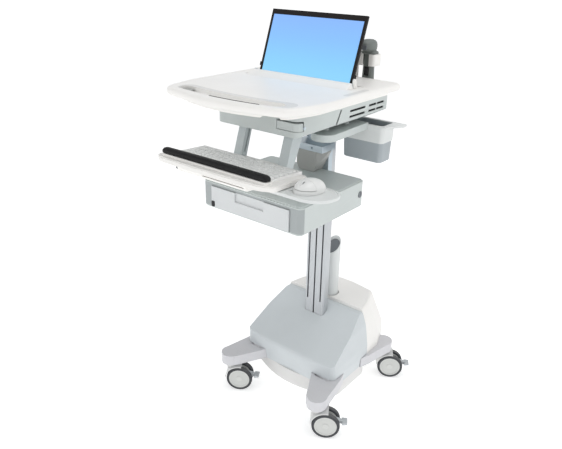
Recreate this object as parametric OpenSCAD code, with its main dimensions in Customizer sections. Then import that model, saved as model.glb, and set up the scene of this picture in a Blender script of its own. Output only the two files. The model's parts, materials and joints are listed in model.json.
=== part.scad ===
// Powered mobile computing cart: four-leg base on twin-wheel casters, slotted
// aluminium column, and a height-adjustable head that carries a worksurface over
// a laptop compartment, a keyboard tray, a mouse tray, one drawer, a bin and a
// hand scanner. Millimetres. X right, Y away from the user, Z up.

/* [Base] */
// caster stem to cart centre line, across
stem_x = 204; // [160:1:240]
// caster stem to frame centre, front to back
stem_y = 224; // [180:1:260]
// caster wheel diameter
wheel_d = 100; // [75:1:125]
// horizontal offset of the wheel axle behind the stem
trail = 35; // [20:1:45]
// direction in which the casters trail, degrees from +X
caster_yaw = 32.5; // [0:0.5:90]
// half width of the base covers at their widest
cover_half = 205; // [150:1:230]
// half width of the base covers at the top edge
cover_top_half = 172; // [130:1:200]
// height of the front base cover
cover_top = 332; // [260:1:380]
// half width of the white lower tub
tub_half = 192; // [150:1:210]

/* [Column] */
// column width
col_w = 88; // [60:1:110]
// column depth
col_d = 36; // [30:1:60]
// front face of the column
col_y = 22; // [0:1:60]
// top of the column
col_top = 1064; // [900:1:1100]
// width of the three front slots
slot_w = 6; // [4:0.5:8]
// spacing of the outer slots from the middle one
slot_pitch = 29; // [24:0.5:34]

/* [Head] */
// top of the worksurface
work_z = 1200; // [1000:1:1300]
// half width of the worksurface
work_half = 258; // [220:1:300]
// front of the worksurface at the centre
work_front = -491; // [-540:1:-440]
// back edge of the worksurface
work_back = 82; // [60:1:120]
// half width of the compartment under the worksurface
comp_half = 200; // [180:1:240]
// drawer housing, half width
house_half = 198; // [160:1:220]
// drawer housing, underside
house_z0 = 802; // [760:1:840]
// drawer housing, top
house_z1 = 893; // [860:1:920]
// drawer housing, front
house_front = -345; // [-380:1:-300]

/* [Keyboard] */
// half width of the keyboard tray
tray_half = 222; // [200:1:240]
// tilt of the tray at rest, front edge up when negative
tray_tilt = -5; // [-10:0.5:10]
// right-hand end of the mouse tray
mouse_tray_end = 352; // [260:1:380]

/* [Laptop] */
// laptop width
lap_w = 360; // [320:1:380]
// lid length from the hinge to its top edge
lid_len = 224; // [200:1:250]
// tilt of the open lid behind the vertical
lid_tilt = 19.5; // [5:0.5:30]

/* [Hidden] */
$fn = 48;
wheel_r = wheel_d / 2;
// the row frame has its origin under the middle of the whole cart
mid_x = (mouse_tray_end - work_half) / 2;
mid_y = -112.914;
leg_z0 = 118;
leg_z1 = 158;
plate_t = 6;
wall = 3;
col_yc = col_y + col_d / 2;
hinge_y = -94;
hinge_z = 1184;
tray_pin_y = -288;
tray_pin_z = 972;
tray_y = -425;
tray_z = 1000;
knob_y = -492;
comp_z0 = 1083;
comp_z1 = 1165;

// ---------------------------------------------------------------- colours
white = [0.93, 0.93, 0.92];
warm = [0.90, 0.90, 0.88];
cool = [0.77, 0.80, 0.80];
shade = [0.55, 0.58, 0.58];
legs = [0.78, 0.78, 0.80];
alu = [0.80, 0.81, 0.82];
steel = [0.66, 0.70, 0.74];
dark = [0.16, 0.17, 0.18];
black = [0.05, 0.05, 0.06];

// ---------------------------------------------------------------- helpers
module cart() translate([-mid_x, -mid_y, 0]) children();

function unit(v) = v / norm(v);

// points of the arc of radius r that replaces the corner p between a and b
function corner(a, p, b, r, n) =
    let (u = unit(a - p), w = unit(b - p), half = acos(u * w) / 2,
         o = p + unit(u + w) * (r / sin(half)),
         s = p + u * (r / tan(half)) - o, e = p + w * (r / tan(half)) - o,
         a0 = atan2(s.y, s.x), d = ((atan2(e.y, e.x) - a0 + 540) % 360) - 180)
    [for (i = [0:n]) o + r * [cos(a0 + d * i / n), sin(a0 + d * i / n)]];

// closed outline with each vertex [x, y, r] rounded to radius r
function soft(v, n = 5) = [for (i = [0:len(v) - 1])
    let (m = len(v), a = v[(i + m - 1) % m], p = v[i], b = v[(i + 1) % m])
    each (p.z > 0 ? corner([a.x, a.y], [p.x, p.y], [b.x, b.y], p.z, n) : [[p.x, p.y]])];

// the same outline from its right half, mirrored about x = 0
function both(h) = concat(h, [for (i = [len(h) - 1:-1:0]) [-h[i].x, h[i].y, h[i].z]]);

module rbox(x0, x1, y0, y1, r)
{
    if (r > 0)
    {
        translate([x0 + r, y0])
            square([x1 - x0 - 2 * r, y1 - y0]);
        translate([x0, y0 + r])
            square([x1 - x0, y1 - y0 - 2 * r]);
        for (x = [x0 + r, x1 - r], y = [y0 + r, y1 - r])
            translate([x, y])
                circle(r = r);
    }
    else
        translate([x0, y0])
            square([x1 - x0, y1 - y0]);
}

module slab(x0, x1, y0, y1, z0, z1, r = 0)
    translate([0, 0, z0])
        linear_extrude(z1 - z0)
            rbox(x0, x1, y0, y1, r);

module up(z0, z1)
    translate([0, 0, z0])
        linear_extrude(z1 - z0)
            children();

// profile drawn as (y, z), run along X
module along_x(x0, x1)
    translate([x0, 0, 0])
        rotate([90, 0, 90])
            linear_extrude(x1 - x0)
                children();

// profile drawn as (x, z), run along Y
module along_y(y0, y1)
    translate([0, y1, 0])
        rotate([90, 0, 0])
            linear_extrude(y1 - y0)
                children();

module rod_x(x0, x1, y, z, r)
    translate([x0, y, z])
        rotate([0, 90, 0])
            cylinder(r = r, h = x1 - x0);

module rod_y(y0, y1, x, z, r)
    translate([x, y0, z])
        rotate([-90, 0, 0])
            cylinder(r = r, h = y1 - y0);

module mirrored()
{
    children();
    mirror([1, 0, 0])
        children();
}

// ---------------------------------------------------------------- base
module leg_plan(grow)
    polygon([
        [80, -60 + grow], [92 - grow, -92], [170 - grow, -242], [238 + grow, -214],
        [217 + grow, -100], [205 + grow, -60 + grow]
    ]);

module leg_solid(grow, z0, z1)
    for (my = [0, 1])
        mirror([0, my, 0])
            mirrored()
            {
                up(z0, z1)
                    leg_plan(grow);
                translate([stem_x, -stem_y, z0])
                    cylinder(r = 36 + grow, h = z1 - z0);
            }

module base_frame()
    color(legs)
        cart()
            difference()
            {
                union()
                {
                    intersection()
                    {
                        leg_solid(0, leg_z0, leg_z1);
                        slab(-260, 260, -300, 300, 0, 400);
                    }
                    slab(-150, 150, -100, 270, leg_z0, leg_z0 + plate_t);
                    for (y = [-99, 263])
                        slab(-150, 150, y, y + 6, leg_z0, leg_z0 + 20);
                }
                // hollow undersides of the cast legs
                for (my = [0, 1])
                    mirror([0, my, 0])
                        mirrored()
                            up(leg_z0 - 1, leg_z1 - 6)
                                polygon([[104, -96], [172, -200], [212, -186], [204, -96]]);
                // hand-hold pocket in the top of each leg beside the cover
                for (my = [0, 1])
                    mirror([0, my, 0])
                        mirrored()
                            up(leg_z1 - 8, leg_z1 + 1)
                                polygon([[112, -108], [128, -136], [184, -136], [186, -108]]);
                for (x = [-stem_x, stem_x], y = [-stem_y, stem_y])
                    translate([x, y, leg_z0 - 1])
                        cylinder(r = 6, h = 35);
                // bolt holes for the column foot
                for (x = [-52, 52], y = [2, 78])
                    translate([x, y, leg_z0 - 1])
                        cylinder(r = 4.2, h = 10);
            }

module caster_stems()
    color(steel)
        cart()
            for (x = [-stem_x, stem_x], y = [-stem_y, stem_y])
                translate([x, y, 0])
                {
                    translate([0, 0, 91])
                        cylinder(r = 5.95, h = 57);
                    translate([0, 0, 113.4])
                        cylinder(r = 12, h = 4.6);
                }

function tub_half_plan(g) = both([
    [0, -156 - g * 1.08, 330], [tub_half + g, -78 - g * 0.7, 30], [tub_half + g, 108 + g, 12],
    [84 + g, 112 + g, 6], [84 + g, 284 + g, 14]
]);

// the first vertex lies on the centre line, so it is used once
function no_double(p) = [for (i = [0:len(p) - 2]) p[i]];

module tub_plan(g)
    polygon(soft(no_double(tub_half_plan(g)), 6));

module lower_tub()
    color(white)
        cart()
            difference()
            {
                union()
                {
                    up(52, 62)
                        tub_plan(-5);
                    up(62, leg_z0)
                        tub_plan(0);
                }
                up(56, 130)
                    tub_plan(-9);
            }

// front-view outline shared by both covers: waisted towards the top
module cover_front_view(g, top)
    polygon(soft([
        [-cover_half + 7 + g, 110, 0], [-cover_half + g, 165, 30], [-cover_half + 1 + g, 200, 60],
        [-cover_top_half - 19 + g, 283, 60], [-cover_top_half + g, top, 10],
        [cover_top_half - g, top, 10], [cover_top_half + 19 - g, 283, 60],
        [cover_half - 1 - g, 200, 60], [cover_half - g, 165, 30], [cover_half - 7 - g, 110, 0]
    ], 4));

module front_shape(g)
    intersection()
    {
        along_y(-200 + g, 99.5)
            cover_front_view(g, cover_top - g);
        along_x(-250, 250)
            polygon(soft([
                [99.5, 100, 0], [99.5, cover_top - g, 0], [80, cover_top - g, 14],
                [-139 + g, 208 - g * 0.9, 24], [-127 + g, 150, 60], [-121 + g, 100, 0]
            ], 6));
        up(100, 400)
            polygon(soft(no_double(both([
                [0, -142 + g * 1.02, 700], [cover_half - g, -126 + g, 22], [cover_half - g, 99.5, 0]
            ])), 8));
    }

module column_hole(g, z0, z1)
    slab(-col_w / 2 - g, col_w / 2 + g, col_y - g, col_y + col_d + g, z0, z1, 10 + g);

module front_cover()
    color(cool)
        cart()
            difference()
            {
                front_shape(0);
                difference()
                {
                    front_shape(wall);
                    slab(-260, 260, -300, 300, 0, leg_z0 - 1);
                }
                slab(-260, 260, -300, 300, 0, leg_z0);
                slab(-150, 150, 90, 110, 0, cover_top - 8);
                leg_solid(1.2, 90, leg_z1 + 1.2);
                column_hole(1, 200, 400);
            }

// keeps what lies inside an outline turned by an angle to each side
module mirrored_cut(angle)
    intersection()
    {
        rotate([0, 0, angle])
            along_y(-500, 500)
                children();
        mirror([1, 0, 0])
            rotate([0, 0, angle])
                along_y(-500, 500)
                    children();
    }

module rear_shape(g)
    intersection()
    {
        along_y(100.2, 320)
            cover_front_view(g, 343 - g);
        along_x(-250, 250)
            polygon(soft([
                [100.2, 100, 0], [100.2, 337 - g, 0], [120, 343 - g, 20], [272 - g, 341 - g, 26],
                [298 - g, 240, 80], [300 - g, 100, 0]
            ], 5));
        up(100, 400)
            polygon(soft(both([
                [cover_half - g, 100.2, 0], [cover_half - 4 - g, 180 - g, 60],
                [168 - g * 0.8, 272 - g, 50], [60, 302 - g, 200]
            ]), 5));
        // slanted rear corners: the top narrows towards the back
        mirrored_cut(26)
            polygon([[-500, 90], [309 - g, 90], [265 - g, 216], [214 - g, 345], [-500, 345]]);
    }

module rear_cover()
    color(white)
        cart()
            difference()
            {
                rear_shape(0);
                difference()
                {
                    rear_shape(wall);
                    slab(-260, 260, 90, 320, 0, leg_z0 - 1);
                }
                slab(-260, 260, 90, 320, 0, leg_z0);
                slab(-150, 150, 90, 110, 0, 329);
                leg_solid(1.2, 90, leg_z1 + 1.2);
                translate([0, 134, 300])
                    cylinder(r = 30.4, h = 60);
                slab(-46.4, -13.6, 270, 310, 189.6, 214.4);
                slab(9.6, 30.4, 270, 310, 189.6, 214.4);
                // cooling louvres
                for (i = [0:4])
                    slab(-60, 60, 270, 310, 140 + i * 7, 143 + i * 7);
            }

module battery()
    color(dark)
        cart()
        {
            slab(-78, 78, 168, 256, 124, 262, 6);
            slab(-60, 60, 180, 244, 262, 268, 4);
            for (x = [-40, 40])
                translate([x, 212, 268])
                    cylinder(r = 6, h = 6);
        }

module power_module()
    color(shade)
        cart()
            difference()
            {
                union()
                {
                    slab(-76, 76, -86, -14, 124, 186, 3);
                    // cooling fins
                    for (x = [-70:10:70])
                        slab(x - 1.5, x + 1.5, -80, -20, 185, 192);
                }
                for (x = [-65, 65], y = [-76, -24])
                    translate([x, y, 180])
                        cylinder(r = 2.2, h = 20);
            }

module power_inlet()
    color(black)
        cart()
        {
            difference()
            {
                union()
                {
                    slab(-46, -14, 272, 301, 190, 214);
                    slab(-48, -12, 299, 302.4, 188, 216, 2);
                    // frame of the rocker switch and the plate that joins the two
                    slab(6, 34, 272, 294, 187, 217);
                    slab(-46, 34, 272, 275, 190, 214);
                }
                slab(10.1, 29.9, 276, 310, 190, 214);
                // socket cavity for an appliance plug and its three blades
                along_y(285, 310)
                    polygon([[-42, 194], [-18, 194], [-18, 206], [-22, 210], [-38, 210], [-42, 206]]);
            }
            rod_x(8, 32, 290, 202, 1.5);
            // contact blades
            for (b = [[-37, 198], [-25, 198], [-31, 203]])
                slab(b[0], b[0] + 2, 284, 292, b[1], b[1] + 4);
        }

module power_switch()
    color(black)
        cart()
            difference()
            {
                intersection()
                {
                    slab(10.4, 29.6, 284, 306, 192, 212);
                    along_x(0, 40)
                        polygon([
                            [286, 197], [286, 207], [295, 212], [302.6, 212], [300, 202], [302.6, 192],
                            [295, 192]
                        ]);
                }
                rod_x(0, 40, 290, 202, 1.56);
            }

module cord_tube()
    color(warm)
        cart()
            difference()
            {
                translate([0, 134, leg_z0 + plate_t])
                    cylinder(r = 30, h = 456);
                translate([0, 134, leg_z0 + plate_t + 4])
                    cylinder(r = 27, h = 470);
                // the mouth is cut on a slant, low towards the user
                along_x(-60, 60)
                    polygon([[90, 508], [170, 581], [170, 700], [90, 700]]);
            }

module column_plan()
    difference()
    {
        rbox(-col_w / 2, col_w / 2, col_y, col_y + col_d, 10);
        rbox(-13.4, 13.4, col_y + 3.2, col_y + col_d - 3.2, 1);
        for (s = [-1, 1])
            translate([s * 28.4, 0])
                rbox(-12.4, 12.4, col_y + 3.2, col_y + col_d - 3.2, 4);
    }

module column()
    color(alu)
        cart()
            difference()
            {
                up(leg_z0 + plate_t, col_top)
                    column_plan();
                slab(-slot_w / 2, slot_w / 2, col_y - 1, col_y + 5, 180, col_top + 1);
                for (s = [-1, 1])
                    slab(s * slot_pitch - slot_w / 2, s * slot_pitch + slot_w / 2, col_y - 1,
                         col_y + 5, 355, col_top + 1);
                mirrored()
                    rod_x(34, 60, col_yc, 146, 4.05);
            }

module column_foot()
    color(alu)
        cart()
            difference()
            {
                union()
                {
                    slab(-64, 64, -8, 88, leg_z0 + plate_t, leg_z0 + plate_t + 9, 8);
                    slab(-54, 54, 10, 70, leg_z0 + plate_t, 172, 10);
                }
                column_hole(0.05, leg_z0, 180);
                for (x = [-52, 52], y = [2, 78])
                    translate([x, y, 100])
                        cylinder(r = 4.05, h = 60);
                mirrored()
                    rod_x(40, 70, col_yc, 146, 4.05);
            }

module foot_bolts()
    color(steel)
        cart()
        {
            for (x = [-52, 52], y = [2, 78])
                translate([x, y, 0])
                {
                    translate([0, 0, 116])
                        cylinder(r = 4, h = 17);
                    translate([0, 0, 133])
                        cylinder(r = 6.5, h = 5, $fn = 6);
                }
            mirrored()
            {
                rod_x(36, 56, col_yc, 146, 4);
                rod_x(54, 58, col_yc, 146, 6.5);
            }
        }

module column_cap()
    color(shade)
        cart()
        {
            slab(-col_w / 2 + 0.5, col_w / 2 - 0.5, col_y + 0.5, col_y + col_d - 0.5, col_top,
                 col_top + 4, 9.5);
            for (s = [-1, 1])
                translate([s * 28.4, 0, 0])
                    slab(-12.2, 12.2, col_y + 3.5, col_y + col_d - 3.5, col_top - 12, col_top, 4);
        }

module lift_rod()
    color(steel)
        cart()
        {
            translate([0, col_yc, leg_z0 + plate_t])
                cylinder(r = 4, h = 494);
            translate([0, col_yc, 614])
                cylinder(r = 8.4, h = 12);
            translate([0, col_yc, leg_z0 + plate_t])
                cylinder(r = 9, h = 12);
        }

// ---------------------------------------------------------------- casters
module at_caster(sx, sy)
    cart()
        translate([sx * stem_x, sy * stem_y, 0])
            rotate([0, 0, caster_yaw])
                children();

// caster frame: stem on the local Z axis, wheel axle along local Y at x = trail
module caster_body()
    color(legs)
        difference()
        {
            union()
            {
                translate([0, 0, 101])
                    cylinder(r = 21, h = 12);
                translate([0, 0, 84])
                    cylinder(r = 8.6, h = 20);
                // leaf between the wheels
                along_y(-8.6, 8.6)
                    union()
                    {
                        translate([trail, wheel_r])
                            circle(r = 16);
                        polygon([[-14, 96], [-10, 84], [20, 46], [44, 62], [26, 96]]);
                    }
                // hood over the stem side of both wheels
                along_y(-28, 28)
                    intersection()
                    {
                        translate([trail, wheel_r])
                            difference()
                            {
                                circle(r = 56, $fn = 96);
                                circle(r = 52.5, $fn = 96);
                            }
                        polygon([[trail, wheel_r], [trail + 12, 130], [-60, 130], [-60, 62]]);
                    }
                // ears that hold the brake pedal
                for (y = [-9.6, 7.4])
                    along_y(y, y + 2.2)
                        polygon(soft([[34, 40, 6], [68, 54, 8], [70, 74, 8], [56, 76, 6], [34, 62, 6]], 3));
                rod_y(-9, 9, 62, 64, 2.5);
            }
            translate([0, 0, 80])
                cylinder(r = 6, h = 40);
            rod_y(-20, 20, trail, wheel_r, 5.05);
            // space for the pedal between the ears
            difference()
            {
                along_y(-7.4, 7.4)
                    translate([62, 64])
                        circle(r = 13);
                rod_y(-9, 9, 62, 64, 2.5);
            }
        }

module caster_tyres()
    color(dark)
        translate([trail, 0, wheel_r])
            rotate([90, 0, 0])
                for (m = [0, 1])
                    mirror([0, 0, m])
                        rotate_extrude($fn = 72)
                            polygon(soft([
                                [40.1, 10.5, 0], [wheel_r - 1, 10.5, 3], [wheel_r + 0.083, 19, 12],
                                [wheel_r - 1, 27.5, 3], [40.1, 28, 1]
                            ], 4));

module caster_hubs()
    color(white)
        translate([trail, 0, wheel_r])
            rotate([90, 0, 0])
            {
                for (m = [0, 1])
                    mirror([0, 0, m])
                        difference()
                        {
                            translate([0, 0, 11])
                                cylinder(r = 40, h = 15.5, $fn = 72);
                            // dished face with a raised rim
                            translate([0, 0, 25])
                                difference()
                                {
                                    cylinder(r = 35, h = 5);
                                    cylinder(r = 11, h = 5);
                                }
                        }
                translate([0, 0, -12])
                    cylinder(r = 5, h = 24);
            }

module brake_pedal()
    color(shade)
        difference()
        {
            union()
            {
                along_y(-7, 7)
                    polygon(soft([[56, 58, 4], [66, 55, 4], [96, 53, 3], [96, 62, 3], [68, 72, 6], [57, 71, 5]], 3));
                along_y(-15, 15)
                    polygon(soft([[91, 52, 3], [111, 56, 3], [110, 62, 3], [91, 63, 3]], 3));
            }
            rod_y(-20, 20, 62, 64, 2.56);
        }

module caster_fl() at_caster(-1, -1) caster_body();
module caster_fr() at_caster(1, -1) caster_body();
module caster_rl() at_caster(-1, 1) caster_body();
module caster_rr() at_caster(1, 1) caster_body();
module tyres_fl() at_caster(-1, -1) caster_tyres();
module tyres_fr() at_caster(1, -1) caster_tyres();
module tyres_rl() at_caster(-1, 1) caster_tyres();
module tyres_rr() at_caster(1, 1) caster_tyres();
module hubs_fl() at_caster(-1, -1) caster_hubs();
module hubs_fr() at_caster(1, -1) caster_hubs();
module hubs_rl() at_caster(-1, 1) caster_hubs();
module hubs_rr() at_caster(1, 1) caster_hubs();
module pedal_fl() at_caster(-1, -1) brake_pedal();
module pedal_fr() at_caster(1, -1) brake_pedal();
module pedal_rl() at_caster(-1, 1) brake_pedal();
module pedal_rr() at_caster(1, 1) brake_pedal();

// ---------------------------------------------------------------- lift and neck
module carriage()
    color(steel)
        cart()
            difference()
            {
                union()
                {
                    // shelf over the neck and plate up to the compartment
                    slab(-62, 62, -56, 20, 963, 985, 3);
                    slab(-50, 50, 10, 20, 985, 1083);
                    slab(-60, 60, -120, 20, 1077, 1083);
                    for (x = [-50, 44])
                        along_x(x, x + 6)
                            polygon([[-100, 1077], [14, 985], [14, 1077]]);
                    // back plate down to the drawer housing
                    slab(-52, 52, -2.8, 20, house_z0 + 4, 964);
                    // tongue through the middle slot to the gas spring
                    slab(-2.6, 2.6, 18, col_yc - 9, 985, 1036);
                    // guide blades and shoes in the outer channels
                    for (s = [-1, 1], z = [820, 976])
                    {
                        translate([s * slot_pitch, 0, 0])
                            slab(-2.6, 2.6, 18, col_y + 6, z, z + 50);
                        translate([s * 28.4, 0, 0])
                            slab(-11.8, 11.8, col_y + 4, col_y + 16, z, z + 50, 3);
                    }
                    translate([0, col_yc, 988])
                        cylinder(r = 12.9, h = 46);
                }
                translate([0, col_yc, 980])
                    cylinder(r = 11.05, h = 70);
                rod_y(-60, -50, 20, 974, 4);
                slab(-36, 36, -1, 8, house_z0 + 12, 950);
            }

module lift_tube()
    color(dark)
        cart()
            difference()
            {
                translate([0, col_yc, 580])
                    cylinder(r = 11, h = 462);
                translate([0, col_yc, 592])
                    cylinder(r = 8.8, h = 442);
                translate([0, col_yc, 570])
                    cylinder(r = 4.05, h = 40);
            }

module neck_cover()
    color(shade)
        cart()
            difference()
            {
                intersection()
                {
                    up(house_z1, 963)
                        polygon([[-40, -58], [40, -58], [70, -3], [-70, -3]]);
                    along_y(-80, 10)
                        polygon([[-30, house_z1], [30, house_z1], [64, 963], [-64, 963]]);
                }
                intersection()
                {
                    up(house_z1 - 1, 960)
                        polygon([[-37, -55], [37, -55], [66, 2], [-66, 2]]);
                    along_y(-80, 10)
                        polygon([[-26, house_z1 - 1], [26, house_z1 - 1], [60, 964], [-60, 964]]);
                }
            }

module struts()
    color([0.66, 0.70, 0.72])
        cart()
            difference()
            {
                union()
                {
                    along_x(72, 106)
                        polygon(soft([
                            [-303, 972, 3], [-266, comp_z0, 0], [-216, comp_z0, 0], [-268, 972, 3]
                        ], 3));
                    along_x(-106, -76)
                        polygon(soft([
                            [-303, 972, 3], [-266, comp_z0, 0], [-238, comp_z0, 0], [-272, 972, 3]
                        ], 3));
                    for (x = [72, -106])
                        rod_x(x, x + (x > 0 ? 34 : 30), tray_pin_y, tray_pin_z, 14);
                    // pivot pin for the keyboard tray
                    rod_x(-106, 106, tray_pin_y, tray_pin_z, 5);
                }
                // cable channel down the inside of each strut
                for (x = [68, -82])
                    along_x(x, x + 14)
                        polygon([[-283, 992], [-256, 1070], [-248, 1070], [-277, 992]]);
            }

// ---------------------------------------------------------------- drawer
module drawer_housing()
    color(cool)
        cart()
            difference()
            {
                union()
                {
                    up(house_z0 + 4, house_z1 - 4)
                        rbox(-house_half, house_half, house_front, -3, 16);
                    up(house_z0, house_z1)
                        rbox(-house_half + 4, house_half - 4, house_front + 4, -7, 13);
                }
                slab(-166, 166, house_front + 6, -8, house_z0 + 4, house_z1 - 4);
                slab(-159, 159, house_front - 5, house_front + 30, house_z0 + 6.5, 880);
                // hollow side posts
                for (x = [-194, 170])
                    slab(x, x + 24, house_front + 24, -8, house_z0 + 6, house_z1 - 6);
                // window for the key lock
                rod_x(190, 202, -27, 847, 11.3);
            }

module drawer_rails()
    color(steel)
        cart()
            mirrored()
                difference()
                {
                    slab(153.5, 166, -330, -20, 830, 852);
                    slab(150, 158, -331, -19, 834, 848);
                }

module drawer_tray()
    color(warm)
        cart()
            difference()
            {
                union()
                {
                    slab(-152, 152, -341, -40, 813, 872, 4);
                    // runners held by the rails
                    mirrored()
                        slab(150, 157.5, -322, -60, 835, 847);
                }
                slab(-149.5, 149.5, -338.5, -42.5, 815.5, 880, 2);
            }

module drawer_front()
    color(white)
        cart()
            difference()
            {
                slab(-157, 157, -350, -341, 810, 878, 0);
                // scooped finger pull in the top edge
                slab(-56, 60, -351, -344.5, 848, 880, 0);
                slab(-157.5, -143, -351, -340, 809, 829);
                rod_y(-352, -340, 0, 829, 0.8);
            }

module drawer_latch()
    color(black)
        cart()
            slab(-156, -144.5, -353, -344, 811, 828, 2);

module side_lock()
    color(shade)
        cart()
            difference()
            {
                union()
                {
                    rod_x(186, 199.5, -27, 847, 11);
                    rod_x(180, 187, -27, 847, 5);
                    slab(180, 184, -31, -23, 838, 847);
                }
                slab(196, 201, -28.2, -25.8, 840, 854);
            }

// ---------------------------------------------------------------- compartment
module comp_section(g)
    polygon([
        [-150 + g * 0.6, comp_z0 + g], [150 - g * 0.6, comp_z0 + g], [comp_half - g, 1108 + g * 0.4],
        [comp_half + 4 - g, comp_z1 + 1], [-comp_half - 4 + g, comp_z1 + 1],
        [-comp_half + g, 1108 + g * 0.4]
    ]);

module comp_plan(g)
    polygon(soft(both([
        [150 - g, -318 + g, 22], [comp_half + 4 - g, -190 + g * 0.4, 40], [comp_half + 4 - g, 94 - g, 8]
    ]), 5));

module compartment()
    color(cool)
        cart()
            difference()
            {
                intersection()
                {
                    along_y(-340, 100)
                        comp_section(0);
                    up(1000, comp_z1)
                        comp_plan(0);
                }
                difference()
                {
                    intersection()
                    {
                        along_y(-340, 100)
                            comp_section(3);
                        up(1000, 1300)
                            comp_plan(3);
                    }
                    // well around the column
                    slab(-56, 56, 12, 100, 1000, 1300);
                    // rails that carry the laptop
                    for (x = [-130, 126])
                        slab(x, x + 4, -300, 0, 1080, 1165);
                    // pocket that houses the lift lever
                    slab(76, 164, -330, -280, 1000, 1300);
                }
                slab(-52, 52, 16, 101, 1000, 1300);
                // mouth and pocket of the lift lever
                slab(80, 160, -330, -284, 1100, 1130);
                rod_x(75, 165, -292, 1110, 2.55);
                // slanted shadow gap behind each front corner
                mirrored()
                    along_x(148, 230)
                        polygon([[-196, 1082], [-168, 1150], [-176, 1150], [-206, 1082]]);
                // ventilation slots
                for (z = [1116, 1133], y = [[-124, -38], [-18, 26], [29, 72]])
                    slab(-240, 240, y[0], y[1], z, z + 7);
            }

module work_plan(g)
    polygon(soft(no_double(both([
        [0, work_front - 22 + g * 1.05, 420], [work_half - 26 - g, -462 + g, 60],
        [work_half - g, -330, 160], [work_half - g, work_back - g, 24]
    ])), 7));

module worksurface()
    color(white)
        cart()
            difference()
            {
                union()
                {
                    up(work_z - 4, work_z)
                        work_plan(5);
                    up(work_z - 9, work_z - 4)
                        work_plan(1.5);
                    up(work_z - 18, work_z - 9)
                        work_plan(0);
                    up(work_z - 23, work_z - 18)
                        work_plan(4);
                    up(comp_z1, work_z - 23)
                        work_plan(26);
                }
                // hollow underside over the laptop
                slab(-190, 190, -340, 40, comp_z1 - 1, work_z - 9);
                // hand slot behind the front rail
                up(work_z - 40, work_z + 1)
                    intersection()
                    {
                        difference()
                        {
                            translate([0, 460])
                                circle(r = 921, $fn = 120);
                            translate([0, 502])
                                circle(r = 927, $fn = 120);
                        }
                        rbox(-196, 196, -470, -380, 0);
                    }
                // slot for the laptop lid
                slab(-187, 187, -105, -72, comp_z1 - 1, work_z + 1, 3);
                // shallow recess around the lid slot
                slab(-208, 208, -132, -60, work_z - 2, work_z + 1, 6);
                // notch for the column
                slab(-52, 52, 16, 101, comp_z1 - 1, work_z + 1);
            }

module lift_lever()
    color(shade)
        cart()
            difference()
            {
                union()
                {
                    slab(83, 157, -328, -294, 1104, 1112, 2);
                    rod_x(83, 157, -292, 1110, 5);
                    rod_x(77, 163, -292, 1110, 2.5);
                }
                slab(90, 150, -322, -304, 1102, 1106);
            }

// ---------------------------------------------------------------- keyboard tray
module on_tray()
    cart()
        translate([0, tray_y, tray_z])
            rotate([tray_tilt, 0, 0])
                translate([0, -tray_y, 0])
                    children();

module tray_plan(g)
    polygon(soft(both([
        [0 + 60, -528 + g, 0], [190 - g, -524 + g, 60], [tray_half + 4 - g, -500 + g, 14],
        [210 - g, -334 - g, 10]
    ]), 5));

module keyboard_tray()
    color(white)
        cart()
            difference()
            {
                union()
                {
                    translate([0, tray_y, tray_z])
                        rotate([tray_tilt, 0, 0])
                            translate([0, -tray_y, 0])
                                difference()
                                {
                                    union()
                                    {
                                        up(-14, -3)
                                            tray_plan(0);
                                        up(-3, 0)
                                            tray_plan(2.5);
                                        // chin, guide plate and back rail of the mouse-tray tunnel
                                        along_x(-132, 132)
                                            polygon(soft([
                                                [-510, -14, 0], [-504, -34, 8], [-330, -34, 2],
                                                [-330, -14, 0]
                                            ], 4));
                                        slab(-60, 60, -334, -316, -34, -2);
                                        // raised rim for the palm pad
                                        slab(-200, 200, -507, -478, 0, 6.2, 3);
                                    }
                                    slab(-140, 140, -480.3, -337.7, -25.1, -14);
                                    rod_x(-134, -126, knob_y, -24, 3);
                                    // finger slit in the chin
                                    slab(-30, 126, -515, -497, -27, -23.5);
                                }
                    // knuckle on the pivot pin
                    rod_x(-68, 68, tray_pin_y, tray_pin_z, 11);
                    along_x(-56, 56)
                        polygon([[-318, 958], [-285, 963], [-285, 981], [-318, 991]]);
                }
                rod_x(-80, 80, tray_pin_y, tray_pin_z, 5.06);
            }

module tilt_knob()
    color(shade)
        on_tray()
            difference()
            {
                union()
                {
                    rod_x(-146, -132.4, knob_y, -24, 9);
                    rod_x(-133, -127, knob_y, -24, 2.95);
                }
                // grip flutes
                for (a = [0:45:315])
                    translate([-150, knob_y + 9.6 * cos(a), -24 + 9.6 * sin(a)])
                        rotate([0, 90, 0])
                            cylinder(r = 1.8, h = 12, $fn = 16);
            }

module palm_rest()
    color(black)
        on_tray()
            along_x(-200, 200)
                polygon(soft([
                    [-507, 6.2, 2], [-507, 17, 7], [-499, 21, 7], [-484, 20, 7], [-477, 14, 5], [-477, 6.2, 2]
                ], 4));

module keyboard()
    color(white)
        on_tray()
            difference()
            {
                along_x(-192, 192)
                    polygon(soft([[-472, 0, 0], [-472, 6, 2], [-338, 10, 2], [-338, 0, 0]], 3));
                along_x(-184, 184)
                    polygon([[-466, 1.8], [-344, 5.4], [-344, 14], [-466, 14]]);
            }

key_p = 18.9;
row_p = 19.4;
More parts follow.
